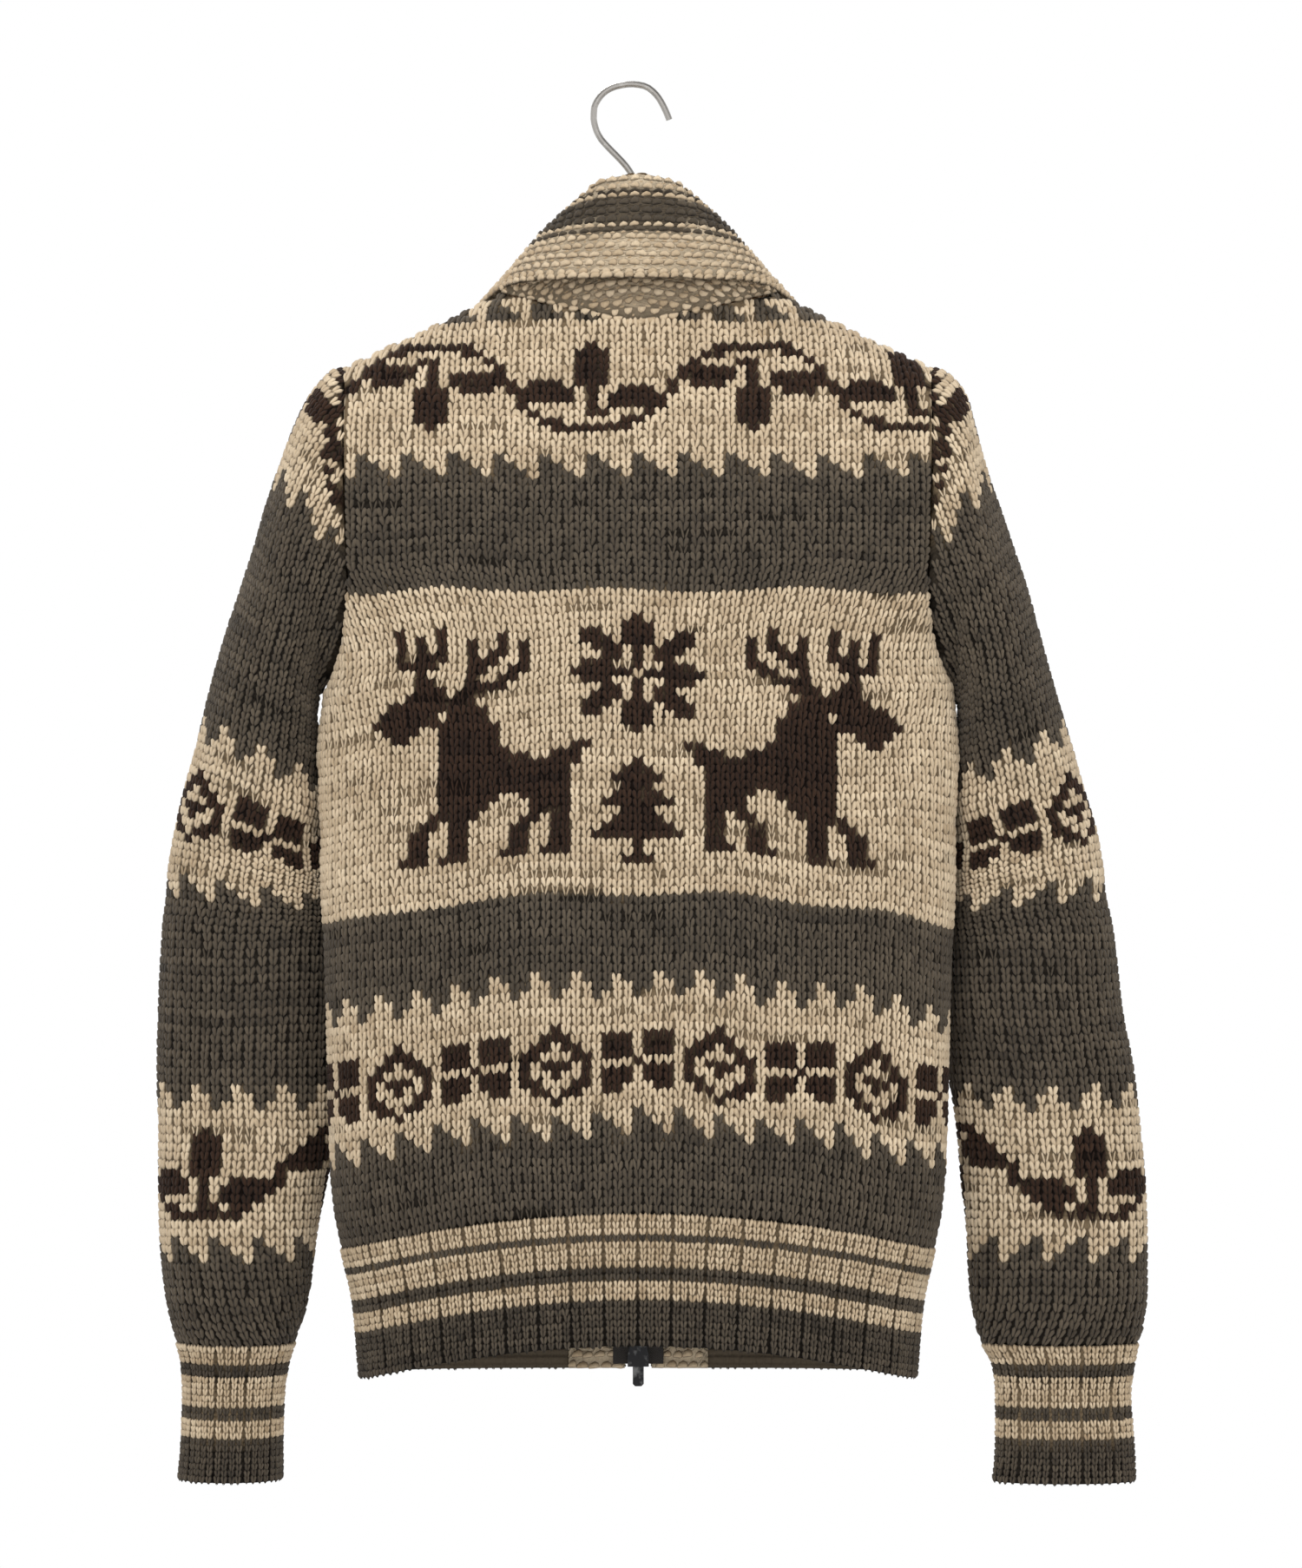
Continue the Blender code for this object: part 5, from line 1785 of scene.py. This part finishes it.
@dataclass
class GarterPieces:
    """The shawl collar and the two bands along the zip, in garter stitch on both sides."""

    shop: Workshop
    bead: float = 7.0
    half_wall: float = 1.3
    stand_off: float = 1.8
    ridge: tuple[tuple[float, float, float], ...] = ((0.4, 0.72, 0.0), (0.9, 0.36, 1.9))  # place, height, depth
    band_ridge: float = 6.6
    band_inner_x: float = 8.5
    hem_z: float = -804.0

    def beads(self, lines: list[Points], heights: Points, off: Points) -> StitchRows:
        """Set garter beads along ridges.

        Args:
            lines: One line of points for each ridge.
            heights: Each ridge's height.
            off: How far each ridge's beads stand from their line.

        Returns:
            The beads, joined.
        """
        rows = StitchRows()
        for j, line in enumerate(lines):
            length = lengths_along(line)
            count = int(length[-1] / self.bead)
            s = (np.arange(count) + (0.25, 0.75, 0.75, 0.25)[j % 4]) * length[-1] / count
            near = lines[min(j + 1, len(lines) - 1)] if j + 1 < len(lines) else lines[j - 1]
            place = read_along(s, length, line)
            other = near[np.linalg.norm(place[:, None] - near, axis=2).argmin(axis=1)] - place
            half = 0.5 * self.bead
            across = read_along(s + half, length, line) - read_along(s - half, length, line)
            along = unit(across)
            other = other - np.sum(other * along, axis=1, keepdims=True) * along
            up = unit(other) * heights[j] * (1 if j + 1 < len(lines) else -1)
            rows.place.append(place + off[j] * unit(np.cross(across, up)))
            rows.across.append(across)
            rows.up.append(up)
            rows.column.append(np.arange(count))
            rows.row.append(np.full(count, j))
        return rows.joined()

    def build_collar(self) -> None:
        """Build and dress the collar."""
        form = CollarForm(self.shop.body)
        yarns, heights, levels, sunk, edge = [RIDGES[0][0]], [4.2], [0.1], [0.5], 0.0
        for yarn, count, height in RIDGES:
            for _ in range(count):
                for at, size, low in self.ridge if height > 5 else ((0.5, 1.0, 0.3),):
                    yarns.append(yarn)
                    heights.append(size * height)
                    levels.append(edge + at * height)
                    sunk.append(low)
                edge += height
        lines = form.rows(np.array(levels))
        off = self.stand_off - np.array(sunk)
        shown = self.beads(lines, np.array(heights), off)
        under = self.beads([line[::-1] for line in lines], np.array(heights), off)
        both = shown.with_rows(under)
        yarn = np.array([colour.value for colour in yarns])[both.row[0]]
        grid = form.grid(44, 15)
        normals = normals_of(grid)
        cloth = Cloth(self.shop, "collar_knit", "collar", "garter_bead", (0.6, 0.17), 0.058, 41, (0.13, 0.22))
        shell = cloth.shell(grid + self.half_wall * normals, grid - self.half_wall * normals, both, yarn)
        cloth.dress(shell, both, yarn, False)

    def build_bands(self) -> None:
        """Build and dress the two bands along the zip."""
        body = self.shop.body
        low, high = self.hem_z, body.v_point_z
        count = 2 * round((high - low) / self.band_ridge)
        levels = low + (np.arange(count) + np.tile([0.7, 0.5], count // 2)) * (high - low) / count
        x = np.linspace(self.band_inner_x, body.band_outer_x - body.seam, 8)
        lines = [body.at(x, np.full(len(x), z), True) + np.array([0, -0.2, 0]) for z in levels]
        inner_side = [line[::-1] + np.array([0, 4.2, 0]) for line in lines[::2]]
        heights = np.tile([0.66, 0.4], count // 2) * self.band_ridge
        sunk = np.tile([-0.1, -0.8], count // 2)
        shown, under = self.beads(lines, heights, sunk), self.beads(inner_side, 0 * heights + 4.6, 0 * sunk - 0.2)
        both = shown.with_rows(under)
        yarn = np.full(len(both.place[0]), Yarn.CREAM.value)
        grid = body.at(*np.meshgrid(x, np.linspace(low, high, 60)), True) + np.array([0, -0.2, 0])
        outer, inner = grid + np.array([0, 0.9, 0]), grid + np.array([0, 3.3, 0])
        flat, area, uneven = (0.037, 0.56), 0.0205, (0.12, 0.18)
        left = Cloth(self.shop, "zip_band_left_knit", "zip_band_left", "garter_bead", flat, area, 42, uneven)
        left.dress_both_sides(outer, inner, both, yarn, False)

    def build(self) -> None:
        """Build the collar and the bands."""
        self.build_collar()
        self.build_bands()


@dataclass(frozen=True)
class Metal:
    """A brushed or blackened metal with fine scratches, paler where it is worn."""

    name: str
    colour: tuple[float, float, float]
    worn: tuple[float, float, float]
    roughness: float
    stretch: tuple[float, float, float]

    def build(self) -> bpy.types.Material:
        """Build the material."""
        made, tree, shader = new_material(self.name, {"Metallic": 1.0})
        place = tree.add("ShaderNodeTexCoord").outputs["Object"]
        brushed = tree.noise(tree.add("ShaderNodeMapping", {0: place, 3: self.stretch}).outputs[0], 900.0, 4.0, 0.6)
        patch = tree.noise(place, 160.0, 3.0, 0.6)
        wear = tree.add("ShaderNodeMapRange", {0: patch, 1: 0.5, 2: 0.72}).outputs[0]
        tree.link(tree.mix(wear, (*self.colour, 1), (*self.worn, 1)), shader, "Base Color")
        rough = tree.add("ShaderNodeMapRange", {0: brushed, 3: self.roughness - 0.1, 4: self.roughness + 0.12})
        tree.link(rough.outputs[0], shader, "Roughness")
        tree.bump(shader, 0.25, 0.0002, brushed)
        return made


@dataclass(frozen=True)
class Wood:
    """Varnished wood with its grain along the hanger."""

    name: str
    light: tuple[float, float, float]
    dark: tuple[float, float, float]

    def build(self) -> bpy.types.Material:
        """Build the material."""
        made, tree, shader = new_material(self.name, {"Roughness": 0.38, "Coat Weight": 0.3})
        place = tree.add("ShaderNodeTexCoord").outputs["Object"]
        along = tree.add("ShaderNodeMapping", {0: place, 3: (0.06, 1.0, 1.0)}).outputs[0]
        grain = tree.noise(along, 420.0, 5.0, 0.65)
        rings = tree.noise(along, 60.0, 2.0)
        share = tree.math("ADD", tree.math("MULTIPLY", grain, 0.6), tree.math("MULTIPLY", rings, 0.5))
        tree.link(tree.mix(share, (*self.dark, 1), (*self.light, 1)), shader, "Base Color")
        tree.bump(shader, 0.2, 0.0003, grain)
        return made


@dataclass(frozen=True)
class Webbing:
    """The zip tape's close herringbone weave."""

    name: str
    colour: tuple[float, float, float]

    def build(self) -> bpy.types.Material:
        """Build the material."""
        made, tree, shader = new_material(self.name, {"Roughness": 0.85})
        place = tree.add("ShaderNodeTexCoord").outputs["Object"]
        split = tree.add("ShaderNodeSeparateXYZ", {0: place})
        fold = tree.math("PINGPONG", tree.math("MULTIPLY", split.outputs[0], 1000.0), 2.0)
        slant = tree.math("ADD", fold, tree.math("MULTIPLY", split.outputs[2], 1000.0))
        slant = tree.math("SINE", tree.math("MULTIPLY", slant, 5.2))
        fleck = tree.noise(place, 1200.0, 3.0)
        share = tree.math("ADD", tree.math("MULTIPLY", slant, 0.3), fleck)
        dark = tuple(0.45 * value for value in self.colour)
        tree.link(tree.mix(share, (*dark, 1), (*self.colour, 1)), shader, "Base Color")
        tree.bump(shader, 0.6, 0.0003, slant)
        return made


@dataclass
class Zip:
    """The two-way zip: two tapes, the teeth between the sliders, and the sliders with their tabs."""

    tape_inner_x: float = 1.7
    tape_outer_x: float = 16.0
    tape_low_z: float = -801.0
    tape_high_z: float = -250.0
    zip_y: float = -64.4
    tooth_pitch: float = 2.7
    teeth_low_z: float = -786.5
    teeth_high_z: float = -272.0

    def tape(self, side: int, finish: bpy.types.Material) -> None:
        """Make one tape, with a rounded cord along its inner edge.

        Args:
            side: 1 on the wearer's left, -1 on the right.
            finish: The webbing.
        """
        cord = [(5.0, -0.6), (3.4, -0.75), (2.6, -0.95), (2.0, -0.7)]
        front = [(self.tape_outer_x, -0.5), *cord, (self.tape_inner_x, 0.0)]
        section = front + [(x, -y) for x, y in front[-2::-1]]
        levels = np.linspace(self.tape_low_z, self.tape_high_z, 24)
        points = [(side * x, self.zip_y + y, z) for z in levels for x, y in section]
        faces = bar_faces(len(levels), len(section))
        faces = faces if side > 0 else [face[::-1] for face in faces]
        name = f"zip_tape_{'left' if side > 0 else 'right'}"
        tape = make_mesh(name + "_woven", np.array(points), faces, finish, 50)
        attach(tape, "garment")
        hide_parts(name)
        LOG.info("%s: %d faces", tape.name, len(faces))

    def tooth(self, finish: bpy.types.Material) -> bpy.types.Object:
        """Make the shape of one tooth, a chamfered block with a rounded nose.

        Args:
            finish: Its metal.

        Returns:
            The object, which isn't in the scene.
        """
        outline = [(-1.9, 0.95), (1.4, 0.95), (2.6, 0.45), (2.6, -0.45), (1.4, -0.95), (-1.9, -0.95)]
        rings = ((-1.25, 0.8), (-0.95, 1.0), (0.95, 1.0), (1.25, 0.8))
        points = [(x * grow, y, z * 0.75 * grow) for y, grow in rings for x, z in outline]
        mesh = bpy.data.meshes.new("zip_tooth")
        mesh.from_pydata(points, [], bar_faces(len(rings), len(outline)))
        mesh.materials.append(finish)
        return bpy.data.objects.new("zip_tooth", mesh)

    def build(
        self, planter: Planter, webbing: bpy.types.Material, metal: bpy.types.Material, dark: bpy.types.Material
    ) -> None:
        """Build the tapes and the teeth, and dress the sliders.

        Args:
            planter: The tool that plants the teeth.
            webbing: The tapes' finish.
            metal: The teeth's finish.
            dark: The sliders' finish.
        """
        for side in (1, -1):
            self.tape(side, webbing)
        shape = self.tooth(metal)
        count = int((self.teeth_high_z - self.teeth_low_z) / self.tooth_pitch)
        number = np.arange(count * 2)
        side = np.where(number % 2 == 0, 1.0, -1.0)
        z = self.teeth_low_z + number * self.tooth_pitch / 2
        place = np.stack([side * 0.75, np.full(len(z), self.zip_y), z], axis=1)
        across = np.stack([-side, 0 * side, 0 * side], axis=1)
        up = np.stack([0 * side, 0 * side, np.ones(len(z))], axis=1)
        teeth = StitchRows([place + 0.5 * up], [across], [up], [number], [number])
        ones = np.ones(len(z))
        piece = planter.plant("zip_teeth", teeth, shape, metal, ones, ones, 51, 0.0, 0.0)
        bpy.data.objects.remove(shape, do_unlink=True)
        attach(piece, "garment")
        for name in ("slider_top", "slider_bottom", "pull_tab_top", "pull_tab_bottom"):
            dress_node(name, dark)


def dress_node(name: str, finish: bpy.types.Material) -> None:
    """Give a carried-over solid its finish.

    Args:
        name: The solid's name.
        finish: The material for all its slots.
    """
    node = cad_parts[name]
    if not node.data.materials:
        node.data.materials.append(finish)
    for k in range(len(node.data.materials)):
        node.data.materials[k] = finish
    LOG.info("%s dressed in %s", name, finish.name)


@dataclass
class Studio:
    """The pale floor, the soft lights and the camera."""

    distance: float = 3.5
    aim_x: float = -0.0081
    aim_z: float = -0.4335
    tall: float = 0.9761
    floor_z: float = -1.6

    def build(self) -> None:
        """Set up the studio."""
        made, tree, shader = new_material("pale_floor", {"Roughness": 0.9})
        speckle = tree.noise(tree.add("ShaderNodeTexCoord").outputs["Object"], 3.0, 2.0)
        tree.link(tree.mix(speckle, (0.82, 0.82, 0.81, 1), (0.86, 0.86, 0.85, 1)), shader, "Base Color")
        turn = np.arange(64) * 2 * math.pi / 64
        rim = np.stack([4200 * np.cos(turn), 4200 * np.sin(turn), np.full(64, self.floor_z * 1000)], axis=1)
        make_mesh("floor", rim, [tuple(range(64))], made)
        world = bpy.data.worlds.new("studio")
        world.use_nodes = True
        sky = Tree(world.node_tree)
        level = sky.add("ShaderNodeSeparateXYZ", {0: sky.add("ShaderNodeTexCoord").outputs["Generated"]}).outputs[2]
        level = sky.math("ABSOLUTE", level)
        level = sky.add("ShaderNodeMapRange", {0: level, 1: 0.28, 2: 0.6, 3: 1.0, 4: 0.3}).outputs[0]
        background = world.node_tree.nodes["Background"]
        sky.link(level, background, "Strength")
        background.inputs["Color"].default_value = (1, 1, 1, 1)
        bpy.context.scene.world = world
        for name, place, size, power in (
            ("key", (0.6, 2.1, 2.3), 1.2, 62.0),
            ("fill", (-1.8, 2.4, 0.2), 1.8, 14.0),
            ("front_key", (0.8, -2.3, 2.0), 1.4, 48.0),
        ):
            data = bpy.data.lights.new(name, "AREA")
            data.shape, data.size, data.energy = "SQUARE", size, power
            lamp = bpy.data.objects.new(name, data)
            lamp.location = place
            lamp.rotation_mode = "QUATERNION"
            lamp.rotation_quaternion = (Vector(place) - Vector((0, 0, -0.4))).to_track_quat("Z", "Y")
            bpy.context.scene.collection.objects.link(lamp)
        data = bpy.data.cameras.new("camera")
        data.sensor_fit = "VERTICAL"
        data.sensor_height = 36.0
        data.lens = 18.0 * self.distance / (self.tall / 2)
        data.sensor_width = 36.0
        data.clip_end = 60.0
        camera = bpy.data.objects.new("camera", data)
        camera.location = (self.aim_x, self.distance, self.aim_z)
        camera.rotation_euler = (math.radians(90), 0, math.radians(180))
        bpy.context.scene.collection.objects.link(camera)
        bpy.context.scene.camera = camera
        bpy.context.scene.view_settings.view_transform = "Standard"


CREASES = (
    Crease((89, -515), (92, -650), 14, 2.6, 1), Crease((118, -560), (112, -690), 16, -2.2, 1),
    Crease((60, -600), (70, -700), 18, -1.8), Crease((-96, -530), (-88, -660), 16, 2.2),
    Crease((172, -398), (122, -470), 13, -3.2), Crease((-174, -398), (-118, -476), 13, -3.2),
    Crease((164, -425), (104, -500), 15, 2.2), Crease((-166, -428), (-100, -512), 15, 2.2),
    Crease((168, -345), (112, -272), 14, -2.6), Crease((-168, -345), (-108, -266), 14, -2.6),
    Crease((60, -215), (38, -330), 20, -1.6), Crease((-52, -210), (-60, -340), 22, 1.5),
    Crease((-150, -560), (-158, -680), 15, -2.2), Crease((20, -470), (26, -600), 24, 1.4),
    Crease((200, -428), (262, -446), 9, -3.0), Crease((204, -448), (272, -462), 9, 2.2),
    Crease((206, -470), (276, -480), 9, -2.6), Crease((300, -500), (236, -526), 11, -2.0),
    Crease((-206, -430), (-270, -446), 9, -3.0), Crease((-210, -450), (-280, -464), 9, 2.2),
    Crease((-212, -474), (-284, -482), 9, -2.6), Crease((-306, -506), (-246, -532), 11, -2.0),
    Crease((232, -560), (240, -690), 14, 2.4), Crease((276, -540), (282, -680), 14, -2.0),
    Crease((-240, -560), (-248, -690), 14, 2.4), Crease((-286, -545), (-292, -690), 14, -2.0),
    Crease((214, -330), (196, -400), 12, -2.6), Crease((-218, -330), (-200, -400), 12, -2.6),
    Crease((226, -250), (214, -330), 13, 1.8), Crease((-230, -250), (-218, -330), 13, 1.8),
    Crease((201, -372), (197, -440), 10, 3.4), Crease((-201, -372), (-197, -440), 10, 3.4),
)


def main() -> None:
    """Build every piece in order."""
    logging.basicConfig(level=logging.INFO, format="%(message)s")
    Studio().build()
    shop = Workshop(creases=CREASES)
    shop.open()
    BodyPanels(shop).build()
    Sleeves(shop).build()
    Ribs(shop).build()
    GarterPieces(shop).build()
    dark = Metal("blackened_metal", (0.035, 0.035, 0.037), (0.2, 0.2, 0.2), 0.42, (1.0, 1.0, 0.2)).build()
    teeth = Metal("zip_teeth_metal", (0.05, 0.047, 0.045), (0.16, 0.155, 0.15), 0.38, (1.0, 1.0, 1.0)).build()
    steel = Metal("brushed_steel", (0.42, 0.40, 0.375), (0.55, 0.53, 0.5), 0.32, (0.15, 1.0, 0.15)).build()
    webbing = Webbing("zip_webbing", (0.05, 0.043, 0.038)).build()
    Zip().build(shop.planter, webbing, teeth, dark)
    dress_node("hook", steel)
    dress_node("hanger", Wood("varnished_wood", (0.36, 0.2, 0.095), (0.16, 0.08, 0.035)).build())
    shop.close()


if __name__ == "__main__":
    main()
